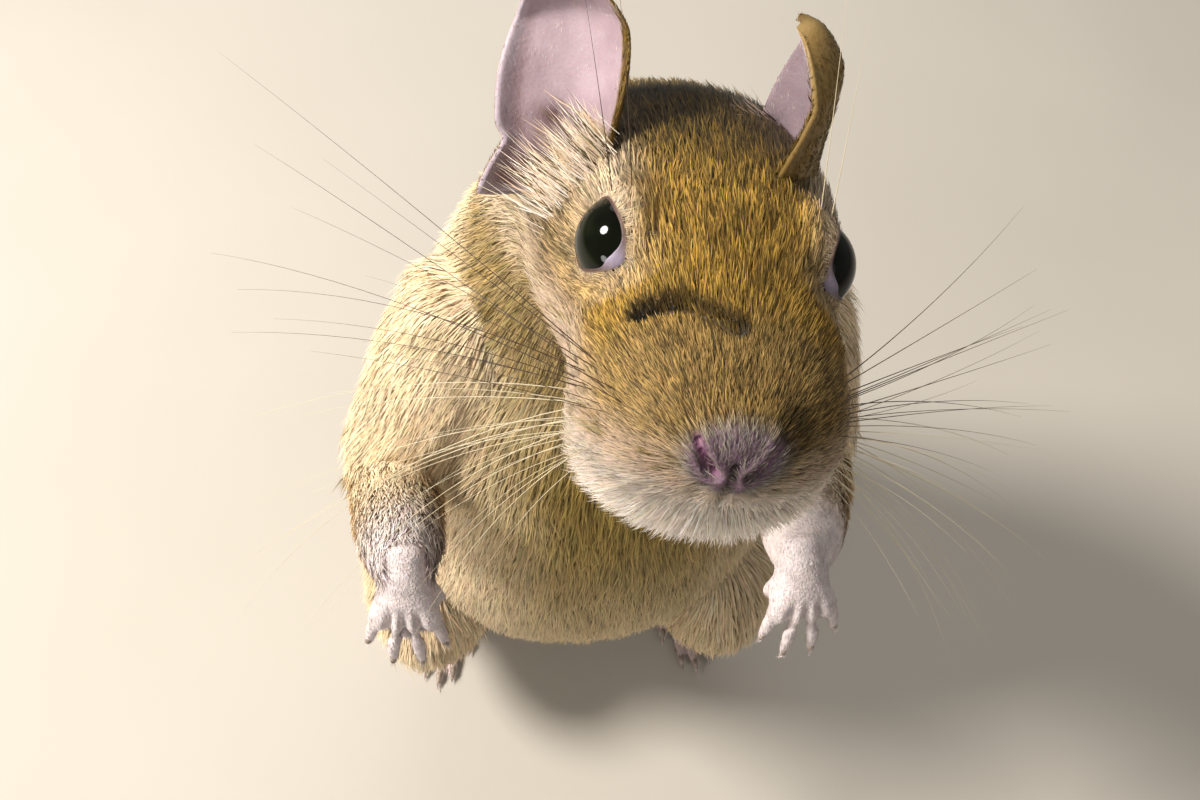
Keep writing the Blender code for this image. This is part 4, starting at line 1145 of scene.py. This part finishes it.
def ear_half_width(up):
    """Half the width of the ear's sheet, from its root in the head to its blunt top."""
    low = EAR_ROOT_HALF_WIDTH + (EAR_HALF_WIDTH - EAR_ROOT_HALF_WIDTH) * np.sin(
        0.5 * math.pi * np.clip(up, 0, None) / EAR_WIDEST
    )
    share = np.clip((up - EAR_WIDEST) / (1 - EAR_WIDEST), 0, 1)
    high = EAR_HALF_WIDTH * np.maximum(1 - share**EAR_BLUNTNESS, 0.004) ** (1 / EAR_BLUNTNESS)
    return np.where(up < EAR_WIDEST, low, high)


def ear_axes(side):
    """The ear's axes in the head's frame: across its opening, away from it and up."""
    turn = EAR_TURNS[side]
    z = unit(np.array(EAR_AXES[side]))
    facing = np.array([-math.sin(turn), -math.cos(turn), 0.0])
    y = -unit(facing - dot(facing, z) * z)
    return np.cross(y, z), y, z


def ear_sheet(side, arc, up):
    """Places of the ear's sheet, on the head: a curled leaf with a hind lobe, a notch and a folded edge."""
    x, y, z = ear_axes(side)
    hind = arc * SIDES[side]
    curl = EAR_CURL[0] + (EAR_CURL[1] - EAR_CURL[0]) * np.clip(up, 0, 0.8) / 0.8
    half = ear_half_width(up)
    middle = 0.5 * half / curl
    lobe = hill(up - LOBE_UP, LOBE_SPREAD)
    notch = NOTCH_DEPTH * hill(up - NOTCH_UP, NOTCH_SPREAD)
    rounded = np.sqrt(np.clip((up + 0.01) / 0.13, 0.0004, 1))
    reach = np.where(hind > 0, arc * (1 + 0.12 * lobe - notch) * rounded, arc)
    curl = np.where(hind > 0, curl * (1 - 0.07 * lobe), curl)
    bend = half / curl
    across = bend * np.sin(curl * reach)
    depth = bend * (np.cos(curl * reach) - 1) + middle + 1.6 * up * up
    depth = depth - LOBE_DEPTH * lobe * np.clip(hind, 0, 1) ** 2
    droop = 1.5 * np.clip(up, 0, None) * (arc * half / EAR_HALF_WIDTH) ** 2
    ripples = 0.16 * np.sin(9 * up + 3 * arc) * (1 - arc**2)
    edge = 0.80 + 0.05 * np.sin(7 * up)
    fold = 0.12 * hill(hind - edge + 0.06, 0.10) - 0.24 * smoothstep(edge, edge + 0.18, hind)
    depth = depth + ripples + fold * smoothstep(0.92, 0.6, up)
    flat = np.array(EAR_ROOTS[side]) + across[..., None] * x + depth[..., None] * y
    return flat + (up * EAR_LENGTH - droop)[..., None] * z


def ear_border(rows, columns):
    """Pairs of neighbours round the edge of a grid of points, one way round."""
    side = [(i * columns, (i + 1) * columns) for i in range(rows - 1)]
    side += [((i + 2) * columns - 1, (i + 1) * columns - 1) for i in range(rows - 1)]
    top = (rows - 1) * columns
    side += [(top + j, top + j + 1) for j in range(columns - 1)]
    side += [(j + 1, j) for j in range(columns - 1)]
    return np.array(side)


def make_ear(side, head, material, solid_tree):
    """One ear as a fine cupped sheet with an inner and an outer face, closed round its rolled edge."""
    sunk = EAR_SUNK / EAR_LENGTH
    ups = -sunk + (1 + sunk) * (1 - (1 - np.linspace(0, 1, EAR_ROWS)) ** 1.25)
    up, arc = np.meshgrid(ups, np.linspace(-1, 1, EAR_COLUMNS), indexing="ij")
    middle = ear_sheet(side, arc, up)
    before, after = np.clip(arc - EAR_STEP, -1, 1), np.clip(arc + EAR_STEP, -1, 1)
    along_arc = ear_sheet(side, after, up) - ear_sheet(side, before, up)
    along_up = ear_sheet(side, arc, np.minimum(up + EAR_STEP, 1)) - ear_sheet(side, arc, up - EAR_STEP)
    normal = unit(np.cross(along_arc, along_up))
    rim = 1 - np.abs(arc) ** 24
    thick = EAR_HALF_THICKNESS * (1 + EAR_EDGE_ROLL * hill(1 - arc * SIDES[side], 0.10))
    half = (thick * np.sqrt(np.clip(rim, 0.02, 1)) * smoothstep(1.0, 0.985, up) + 0.02)[..., None] * normal
    points = np.vstack([(middle + half).reshape(-1, 3), (middle - half).reshape(-1, 3)])
    count = EAR_ROWS * EAR_COLUMNS
    quads, border = grid_faces(EAR_ROWS, EAR_COLUMNS), ear_border(EAR_ROWS, EAR_COLUMNS)
    band = np.column_stack([border, border[:, ::-1] + count])
    faces = np.vstack([quads, quads[:, ::-1] + count, band])
    obj = new_object("ear_skin_" + side, head.place(points), faces)
    change_mesh(obj.data, face_outwards)
    depths = np.array([below(solid_tree, place) for place in points_of(obj.data).tolist()])
    mark(obj, "hidden", depths > EAR_HIDDEN)
    up, arc = up.ravel(), arc.ravel()
    paint(obj, "ear_colour", ear_colours(up, arc * SIDES[side], side))
    flat = np.column_stack([(np.tile(arc, 2) + 1) * 0.22 + 0.02, np.tile(up, 2) * 0.4 + 0.3])
    flat[count:, 0] += 0.5
    unwrap(obj, flat[values_of(obj.data.loops, "vertex_index", 1, np.int32)[:, 0]])
    dress(obj, material, "skin_ear", "ear_" + side)
    return obj, up, arc


def front_strip(up, hind, side):
    """1 on the ochre hair inside an ear: the right one's front edge, and the left one's hind half."""
    if side == "left":
        return smoothstep(0.10, 0.26, hind + 0.22 * up) * smoothstep(1.0, 0.8, up)
    return smoothstep(FRONT_STRIP, FRONT_STRIP + 0.14, -hind - 0.22 * up) * smoothstep(1.0, 0.8, up)


def ear_colours(up, hind, side):
    """The ear's skin, inner face then outer: lilac grey, a red brown hollow, a paler rim and ochre hair.
    The hollow is deepened, the valley inside the rim lined and the left ear darkened with painted shade.
    """
    low = smoothstep(0.34, 0.10, up) * smoothstep(0.85, 0.6, hind)
    # Painted shade: the left ear's lilac grey is darkened as if it lay in shade.
    tone = mix(EAR_INNER * EAR_PAINTED_SHADE[side], EAR_LOW, 0.8 * low)
    # The red brown hollow is partly the skin's own colour and partly painted shade, dark where the ear
    # deepens.
    tone = mix(tone, EAR_HOLLOW, 0.9 * np.exp(-(((hind - 0.36) / 0.22) ** 2) - ((up - 0.33) / 0.07) ** 2))
    tone = mix(tone, EAR_HOLLOW, 0.9 * np.exp(-(((hind - 0.30) / 0.35) ** 2) - ((up - 0.12) / 0.08) ** 2))
    # Painted shade: a faint darker line along the valley inside the rim's fold.
    tone = mix(tone, EAR_LOW, 0.25 * hill(hind - 0.76, 0.06) * smoothstep(0.9, 0.5, up))
    tone = mix(tone, EAR_RIM, smoothstep(0.80, 0.90, hind))
    tone = mix(tone, EAR_OCHRE, front_strip(up, hind, side))
    return np.vstack([tone, mix(EAR_BACK, EAR_OCHRE, smoothstep(0.2, -0.8, hind))])


def ear_fields(obj, side, up, arc, head):
    """What the short hair of an ear is like: denser and browner on the back, sparse and pale inside."""
    normals = normals_of(obj.data)
    hind, same = arc * SIDES[side], np.ones(len(up))
    edge = np.clip(smoothstep(0.80, 0.98, np.abs(arc)) + smoothstep(0.9, 0.99, up), 0, 1)
    strip = front_strip(up, hind, side)
    density = (1.5 + 5 * edge) * smoothstep(0.0, 0.1, up) + 12 * strip
    inner = np.column_stack([0.7 + 0.6 * strip, 22 - 6 * strip, 0.05 + 0.04 * strip, density])
    density = 16 * smoothstep(-0.15, 0.02, up)
    outer = np.column_stack([(1.4 - 0.6 * up) * (1 - 0.5 * edge), 12 * same, 0.09 * same, density])
    tone_out = mix(EAR_BACK, EAR_OCHRE, 0.6 * smoothstep(0.2, -0.9, hind))
    upward = np.tile(head.way(unit(np.array(EAR_AXES[side]))), (len(normals), 1))
    return {
        "lie": across_normal(upward, normals),
        "sizes": np.vstack([inner, outer]),
        "colour": np.vstack([mix(EAR_DOWN, EAR_OCHRE, strip), tone_out]),
        "dark": np.concatenate([0 * same, 0.25 * same])[:, None],
    }


def ear_tufts(side, head, material):
    """The long pale hairs that stand before the opening of an ear and lean across it."""
    draw = np.random.default_rng(SEED + 70 + SIDES[side])
    x, y, z = ear_axes(side)
    hind = SIDES[side]
    count = TUFT_HAIRS
    up = draw.uniform(-0.08, 0.42, count)
    above = np.maximum(up, 0)
    front = ear_sheet(side, np.full(count, -TUFT_ARC * hind) + draw.normal(0, 0.06, count), above)
    spread = draw.normal(0, 0.8, (count, 3))
    roots = front - 0.7 * y + spread * (1 - up[:, None]) - 0.8 * z
    lean = draw.uniform(0.45, 1.0, (count, 1)) * (1.25 - 1.6 * above)[:, None]
    ways = unit(hind * x * lean + 0.90 * z - 0.30 * y + draw.normal(0, 0.12, (count, 3)))
    normals = across_normal(-np.tile(y, (count, 1)), ways)
    length = (TUFT_LENGTH - 10.0 * above) * draw.uniform(0.55, 1.1, count)
    sizes = np.column_stack([length, np.full(count, 10.0), np.full(count, 0.12)])
    kind = draw.random((count, 1))
    colours = np.where(kind < 0.45, LIP * 1.1, np.where(kind < 0.85, BROW, OLIVE * 0.4))
    uvs = np.column_stack([0.5 + 0.3 * up, 0.2 + 0.1 * draw.random(count)])
    blades = Blades(HEAD_LEVELS)
    normals, ways = head.way(normals), head.way(ways)
    blades.plant(head.place(roots), normals, ways, sizes, colours, np.zeros(count), uvs, draw, 0.3, 0.1)
    blades.build("ear_tuft_" + side, material, "coat_pale")


def make_ears(nodes, head, fur):
    ear_skin = ear_material()
    solid_tree, _ = surface_tree([nodes["head"], nodes["neck"], nodes["torso"]])
    for side in SIDES:
        ear, up, arc = make_ear(side, head, ear_skin, solid_tree)
        ground = Ground(ear, ear_fields(ear, side, up, arc, head))
        drop_hidden(ear)
        ear_tufts(side, head, fur)
        everywhere = np.ones(len(ground.corners), bool)
        grow(ground, everywhere, "ear_hair_" + side, fur, "skin_ear", BODY_LEVELS, SEED + 90 + SIDES[side])


def make_eye(side, head, material):
    """The eyeball, whose cornea stands out a little."""
    eye = Eye(side)
    polar = math.pi * np.linspace(0, 1, EYE_RINGS)
    angles = FULL_TURN * np.arange(EYE_COLUMNS) / EYE_COLUMNS
    tilt, turn = np.meshgrid(polar, angles, indexing="ij")
    points = eye.centre + (eye.way(tilt, turn) * ball_radius(tilt)[..., None]).reshape(-1, 3)
    obj = new_object("eyeball_" + side, head.place(points), grid_faces(EYE_RINGS, EYE_COLUMNS, closed=True))
    change_mesh(obj.data, weld)
    dress(obj, material, "eye_black", "eye_" + side)


def make_lids(side, head, material):
    """Both lids as one soft rim, which leaves the eyeball at the opening and dives under the skin."""
    eye = Eye(side)
    angles, reach = lid_opening(LID_COLUMNS)
    corner = hill(np.abs(np.angle(np.exp(1j * (angles - CARUNCLE_ANGLE)))), CARUNCLE_SPREAD)
    rows = []
    for past, height in LID_PROFILE:
        tilt = reach + past - CARUNCLE_REACH * corner * smoothstep(0.10, 0.0, past)
        rows.append(eye.centre + (ball_radius(tilt)[:, None] + height) * eye.way(tilt, angles))
    faces = grid_faces(len(LID_PROFILE), LID_COLUMNS, closed=True)
    obj = new_object("lids_" + side, head.place(np.vstack(rows)), faces)
    change_mesh(obj.data, face_outwards)
    mark(obj, "rim", np.repeat([smoothstep(0.07, 0.03, past) for past, _ in LID_PROFILE], LID_COLUMNS))
    mark(obj, "corner", np.tile(corner, len(LID_PROFILE)))
    step = obj.modifiers.new("smooth", "SUBSURF")
    step.levels = step.render_levels = 1
    apply_modifiers(obj)
    obj.data.shade_smooth()
    dress(obj, material, "coat_brown")


def lid_hair(side, head, ground, material):
    """Very short hair that starts at the lids' edge and lies away from the eye over their soft rim."""
    draw = np.random.default_rng(SEED + 80 + SIDES[side])
    eye = Eye(side)
    angles, reach = lid_opening(LID_STEPS)
    turn = draw.uniform(-math.pi, math.pi, LID_HAIRS)
    past = draw.uniform(0.04, 0.30, LID_HAIRS)
    tilt = np.interp(turn, angles, reach, period=FULL_TURN) + past
    normals = eye.way(tilt, turn)
    tilt = tilt[:, None]
    ways = np.cos(tilt) * eye.spoke(turn) - np.sin(tilt) * eye.out
    roots = head.place(eye.centre + (ball_radius(tilt) + 0.12 + 0.5 * past[:, None]) * normals)
    found = [ground.tree.find_nearest(place)[2] for place in roots.tolist()]
    tone = 0.5 * ground.fields["colour"][ground.corners[found, 0]] + 0.4 * BROW
    uvs = ground.uvs[ground.loops[found, 0]]
    sizes = np.column_stack([0.7 + 3.0 * past, 14 + 0 * past, 0.075 + 0 * past])
    blades = Blades(HEAD_LEVELS)
    blades.plant(roots, head.way(normals), head.way(ways), sizes, tone, 0 * past, uvs, draw)
    blades.build("lid_hair_" + side, material, "coat_brown")


def make_eyes(head, ground, fur):
    eye, lids = eye_material(), lid_material()
    for side in SIDES:
        make_eye(side, head, eye)
        make_lids(side, head, lids)
        lid_hair(side, head, ground, fur)


def digit_end(root, length, bend, turn):
    """Where a digit's last joint ends and the way it points there."""
    way, down = np.array([math.sin(turn), -math.cos(turn), 0.0]), np.array([0.0, 0.0, -1.0])
    place, slope = np.array(root, float), 0.0
    for _ in range(JOINTS):
        slope += bend / JOINTS
        heading = math.cos(slope) * way + math.sin(slope) * down
        place = place + length / JOINTS * heading
    return place, heading


def claw_rows(end, heading, claw):
    """Path and radii of one small claw that curves down to its point."""
    back, rise, length, radius = claw
    down = np.array([0.0, 0.0, -1.0])
    share = np.linspace(0, 1, CLAW_RINGS)
    place = end - back * heading + (0, 0, rise)
    path = place + np.outer(share * length, heading) + np.outer(0.30 * length * share**2, down)
    path[:, 2] += 0.35 * length * np.sin(math.pi * share) * 0.5
    return path, radius * (1 - share**1.6) ** 0.8 + 0.03


def make_claws(shift, material):
    parts = []
    for side, sign in SIDES.items():
        hand, foot = hand_frame(side), foot_frame(side)
        for across, length, angle in FINGERS:
            root = (sign * across, FINGER_ROOT[0] + 0.15 * across * across, FINGER_ROOT[1])
            end, heading = digit_end(root, length, FINGER_BEND, sign * math.radians(angle))
            path, radii = claw_rows(end, heading, FINGER_CLAW)
            parts.append((path @ hand[:3, :3].T + hand[:3, 3] + shift, radii))
        for across, ahead, length, angle in TOES:
            root = (sign * across, ahead, TOE_HEIGHT)
            end, heading = digit_end(root, length, TOE_BEND, sign * math.radians(angle))
            path, radii = claw_rows(end, heading, TOE_CLAW)
            path[:, 2] = np.maximum(path[:, 2], radii + 0.05)
            parts.append((path @ foot[:3, :3].T + foot[:3, 3] + shift, radii))
    dress(tubes("claws", parts, CLAW_SIDES), material, "bristle_black")


def whisker_rows(root, way, length, droop, base, reach):
    """Path and radii of one whisker, which sets out along a way, bends by a droop and stays within reach."""
    share = np.linspace(0, 1, WHISKER_POINTS)
    path = root + np.outer(share * length, way) + np.outer(length * share**2, droop)
    path[0] = root - WHISKER_SINK * way
    inside = (np.abs(path[:, 0]) < reach[0]) & (path[:, 1] > -reach[1])
    keep = len(path) if inside.all() else max(int(np.argmin(inside)), WHISKER_FEWEST)
    return along_path(path[:keep], WHISKER_POINTS), base * (1 - WHISKER_TAPER * share**0.9)


def make_whiskers(skin_tree, head, cad_box):
    """The whiskers of the muzzle in rows on each side, and the long ones over each eye."""
    draw = np.random.default_rng(SEED + 5)
    reach = (cad_box[1][0] / MM + WHISKER_PAST_SIDE, -cad_box[0][1] / MM + WHISKER_PAST_FRONT)
    groups = {"dark": [], "pale": []}

    def add(kind, place, *bearing):
        root = np.array(skin_tree.find_nearest(Vector(head.place(place)))[0])
        groups[kind].append(whisker_rows(root, *bearing, reach))

    for side, sign in SIDES.items():
        for low in np.arange(WHISKER_ROWS) / (WHISKER_ROWS - 1):
            for ahead in np.arange(WHISKER_COLUMNS) / (WHISKER_COLUMNS - 1):
                behind, high = BED_BACK - BED_LENGTH * ahead, BED_TOP - BED_HEIGHT * low
                place = np.array([sign * BED_ASIDE, behind, high]) + draw.normal(0, 0.35, 3)
                way = np.array([sign * 1.0, 0.55 - 0.55 * ahead - 0.45 * low, 0.42 - 0.95 * low])
                way = unit(head.way(way + draw.normal(0, 0.07, 3)))
                length = (WHISKER_LONGEST - WHISKER_SHORTER * ahead**0.8) * (1 - 0.18 * low)
                length *= draw.uniform(0.85, 1.08)
                droop = np.array([0.0, 0.12 - 0.37 * low, -0.28 - 0.08 * low]) + draw.normal(0, 0.06, 3)
                kind = "pale" if low > 0.55 or (low > 0.3 and ahead > 0.5) else "dark"
                add(kind, place, way, length, droop, WHISKER_RADIUS - WHISKER_FINER * ahead)
        for x, y, z, lean, length, kind in BROW_WHISKERS:
            way = unit(np.array([sign * lean, *BROW_WHISKER_WAY]))
            droop = np.array(BROW_WHISKER_DROOP) * (sign, 1, 1)
            kind = kind if side == "right" else "pale"
            add(kind, np.array([sign * x, y, z]), way, length, droop, BROW_WHISKER_RADIUS)
    tones = {
        "dark": (srgb(44, 30, 20), srgb(80, 58, 38)),
        "pale": (srgb(186, 170, 136), srgb(214, 200, 170)),
    }
    for kind, parts in groups.items():
        material = whisker_material("whisker_" + kind, *tones[kind])
        dress(tubes("whiskers_" + kind, parts, WHISKER_SIDES), material, "bristle_black")


def new_material(name, roughness, specular, under=0.0, under_reach=(0.0, 0.0, 0.0)):
    """A material with some light under its surface, its node tree and its shader."""
    made = bpy.data.materials.new(name)
    made.use_nodes = True
    shader = made.node_tree.nodes["Principled BSDF"]
    shader.inputs["Roughness"].default_value = roughness
    shader.inputs["Specular IOR Level"].default_value = specular
    if under:
        shader.inputs["Subsurface Weight"].default_value = under
        shader.inputs["Subsurface Radius"].default_value = under_reach
    return made, made.node_tree, shader


def node(tree, kind, **settings):
    """A node with values for its sockets or, where it has no such socket, for its settings."""
    made = tree.nodes.new(kind)
    for name, value in settings.items():
        if name in made.inputs:
            made.inputs[name].default_value = value
        else:
            setattr(made, name, value)
    return made


def pattern(tree, kind, output, **settings):
    """A texture over the object's own space."""
    coordinates = tree.nodes.new("ShaderNodeTexCoord")
    made = node(tree, kind, **settings)
    tree.links.new(coordinates.outputs["Object"], made.inputs["Vector"])
    return made.outputs[output]


def noise(tree, scale, detail=3.0, rough=0.55):
    return pattern(tree, "ShaderNodeTexNoise", "Fac", Scale=scale, Detail=detail, Roughness=rough)


def noisy(tree, scale, low, high, detail=3.0, rough=0.55, stops=(0.3, 0.7)):
    """Colours that wander between two tones."""
    source = noise(tree, scale, detail, rough)
    made = tree.nodes.new("ShaderNodeValToRGB")
    for element, place, colour in zip(made.color_ramp.elements, stops, (low, high)):
        element.position = place
        element.color = (*colour, 1.0)
    tree.links.new(source, made.inputs["Fac"])
    return made.outputs["Color"]


def mixed(tree, factor, one, two, blend="MIX"):
    """Two colours mixed by a factor, each a fixed value or another node's output."""
    made = tree.nodes.new("ShaderNodeMix")
    made.data_type = "RGBA"
    made.blend_type = blend
    for socket, value in ((made.inputs[0], factor), (made.inputs[6], one), (made.inputs[7], two)):
        if hasattr(value, "is_output"):
            tree.links.new(value, socket)
        elif np.ndim(value):
            socket.default_value = (*value, 1.0)
        else:
            socket.default_value = value
    return made.outputs[2]


def attribute(tree, name, output="Color"):
    return node(tree, "ShaderNodeAttribute", attribute_name=name).outputs[output]


def relief(tree, shader, heights, distance):
    """Adds fine bumps from one value or the sum of several."""
    total = heights[0]
    for other in heights[1:]:
        added = node(tree, "ShaderNodeMath", operation="ADD")
        tree.links.new(total, added.inputs[0])
        tree.links.new(other, added.inputs[1])
        total = added.outputs[0]
    made = node(tree, "ShaderNodeBump", Strength=0.6, Distance=distance)
    tree.links.new(total, made.inputs["Height"])
    tree.links.new(made.outputs["Normal"], shader.inputs["Normal"])


def colour_with(tree, shader, tone):
    tree.links.new(tone, shader.inputs["Base Color"])


def hair_material():
    """Hair whose colour is on its vertices, with a little more variation from hair to hair."""
    made, tree, shader = new_material("fur", 0.6, 0.13)
    shader.inputs["Sheen Weight"].default_value = 0.04
    shade = noisy(tree, 900.0, (0.86, 0.86, 0.86), (1.1, 1.1, 1.1))
    colour_with(tree, shader, mixed(tree, 1.0, attribute(tree, "hair_colour"), shade, "MULTIPLY"))
    return made


def skin_material():
    """Skin under and between the hair, with pores and fine creases."""
    made, tree, shader = new_material("skin", 0.62, 0.35, 0.08, (0.0012, 0.0006, 0.0004))
    shade = noisy(tree, 700.0, (0.78, 0.76, 0.76), (1.12, 1.1, 1.1), 4.0)
    colour_with(tree, shader, mixed(tree, 1.0, attribute(tree, "skin_colour"), shade, "MULTIPLY"))
    cells = pattern(tree, "ShaderNodeTexVoronoi", "Distance", Scale=2600.0)
    relief(tree, shader, [noise(tree, 1500.0, 4.0), cells], 0.00018)
    return made


def ear_material():
    """Thin skin, blotched as by faint vessels, whose colour is on its vertices."""
    made, tree, shader = new_material("ear_skin", 0.5, 0.35, 0.25, (0.003, 0.0012, 0.001))
    blotch = noisy(tree, 160.0, (0.82, 0.76, 0.78), (1.08, 1.05, 1.06), 5.0, 0.6, (0.35, 0.65))
    colour_with(tree, shader, mixed(tree, 1.0, attribute(tree, "ear_colour"), blotch, "MULTIPLY"))
    relief(tree, shader, [noise(tree, 420.0, 4.0), noise(tree, 2400.0, 2.0)], 0.00009)
    return made


def eye_material():
    """A wet black eye with the faint green brown of its iris."""
    made, tree, shader = new_material("eye", 0.05, 0.5)
    shader.inputs["IOR"].default_value = 1.25
    colour_with(tree, shader, noisy(tree, 220.0, srgb(4, 5, 3), srgb(20, 24, 10), 2.0, stops=(0.35, 0.75)))
    return made


def lid_material():
    """Lids: a dark moist edge, pale skin beyond, and the lilac pink of the inner corner."""
    made, tree, shader = new_material("lids", 0.5, 0.4, 0.1, (0.0012, 0.0006, 0.0004))
    pale = noisy(tree, 900.0, srgb(136, 110, 92), srgb(164, 140, 120))
    edged = mixed(tree, attribute(tree, "rim", "Fac"), pale, srgb(74, 52, 46))
    colour_with(tree, shader, mixed(tree, attribute(tree, "corner", "Fac"), edged, srgb(150, 138, 156)))
    relief(tree, shader, [noise(tree, 2200.0, 3.0)], 0.0001)
    return made


def horn_material():
    made, tree, shader = new_material("claw", 0.35, 0.5, 0.2, (0.001, 0.0008, 0.0006))
    colour_with(tree, shader, noisy(tree, 500.0, srgb(120, 104, 92), srgb(176, 158, 142)))
    return made


def whisker_material(name, low, high):
    made, tree, shader = new_material(name, 0.35, 0.5)
    colour_with(tree, shader, noisy(tree, 120.0, low, high))
    return made


def make_floor():
    corners = [(x * FLOOR_HALF, y * FLOOR_HALF, 0) for x, y in ((-1, -1), (1, -1), (1, 1), (-1, 1))]
    floor = new_object("floor", corners, [(0, 1, 2, 3)])
    floor.location.z = FLOOR_HEIGHT
    made, tree, shader = new_material("floor", 0.85, 0.2)
    colour_with(tree, shader, noisy(tree, 8.0, srgb(188, 181, 170), srgb(194, 187, 176)))
    floor.data.materials.append(made)


def make_lights(nose):
    for name, (place, aim, size, power, colour) in LIGHTS.items():
        light = bpy.data.lights.new(name, "AREA")
        light.shape = "DISK"
        light.energy, light.size, light.color = power, size, colour
        obj = show(name, light)
        obj.location = nose + Vector(place)
        way = (nose + Vector(aim)) - (nose + Vector(place))
        obj.rotation_euler = way.to_track_quat("-Z", "Y").to_euler()


def make_camera(head):
    """The photograph's viewpoint, close over the nose and looking down."""
    data = bpy.data.cameras.new("camera")
    data.lens, data.sensor_width = CAMERA_LENS, CAMERA_SENSOR
    data.clip_start, data.clip_end = CAMERA_NEAR, CAMERA_FAR
    camera = show("camera", data)
    across, over = Vector(CAMERA_RIGHT).normalized(), Vector(CAMERA_UP)
    over = (over - over.dot(across) * across).normalized()
    turn = Matrix((across, over, across.cross(over))).transposed().to_4x4()
    place = Vector(head.nose + np.array(CAMERA_FROM_NOSE)) * MM
    camera.matrix_world = Matrix.Translation(place) @ turn
    bpy.context.scene.camera = camera


def make_world():
    world = bpy.data.worlds.new("world")
    world.use_nodes = True
    background = world.node_tree.nodes["Background"]
    background.inputs["Color"].default_value = WORLD_COLOUR
    background.inputs["Strength"].default_value = WORLD_STRENGTH
    bpy.context.scene.world = world


def unwrap_skin(skin):
    bpy.context.view_layer.objects.active = skin
    skin.select_set(True)
    bpy.ops.object.mode_set(mode="EDIT")
    bpy.ops.mesh.select_all(action="SELECT")
    bpy.ops.uv.smart_project(angle_limit=UNWRAP_ANGLE, island_margin=UNWRAP_MARGIN)
    bpy.ops.object.mode_set(mode="OBJECT")
    skin.data.uv_layers[0].name = "OFBake"


def main():
    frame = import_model()
    cad_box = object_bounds()
    nodes = frame["nodes"]
    head = Head()
    shift = head.nose - np.array(NOSE_TIP)

    skin, points, local, labels, edges = shape_skin(nodes, head, shift)
    places = points - shift
    normals = normals_of(skin.data)
    sizes = coat_sizes(places, local, labels, edges)
    soles = (normals[:, 2] < SOLE_FACING) & (points[:, 2] < SOLE_HEIGHT)
    sizes[soles, 3] = 0
    colour, dark = markings(places, local, labels, edges)
    lie = lie_of_coat(places, local, labels, normals, edges, head)
    paint(skin, "skin_colour", skin_colours(colour, local, labels))
    unwrap_skin(skin)
    skin.data.materials.clear()
    skin.data.shade_smooth()
    dress(skin, skin_material(), "coat_brown", *FLESH)

    fur = hair_material()
    fields = {"lie": lie, "sizes": sizes, "colour": colour, "dark": dark[:, None]}
    ground = grow_coat(skin, fields, labels, fur)
    make_ears(nodes, head, fur)
    make_eyes(head, ground, fur)
    make_claws(shift, horn_material())
    make_whiskers(ground.tree, head, cad_box)

    make_floor()
    make_world()
    make_lights(Vector(head.nose) * MM)
    make_camera(head)
    bpy.context.scene.view_settings.view_transform = "Standard"


main()
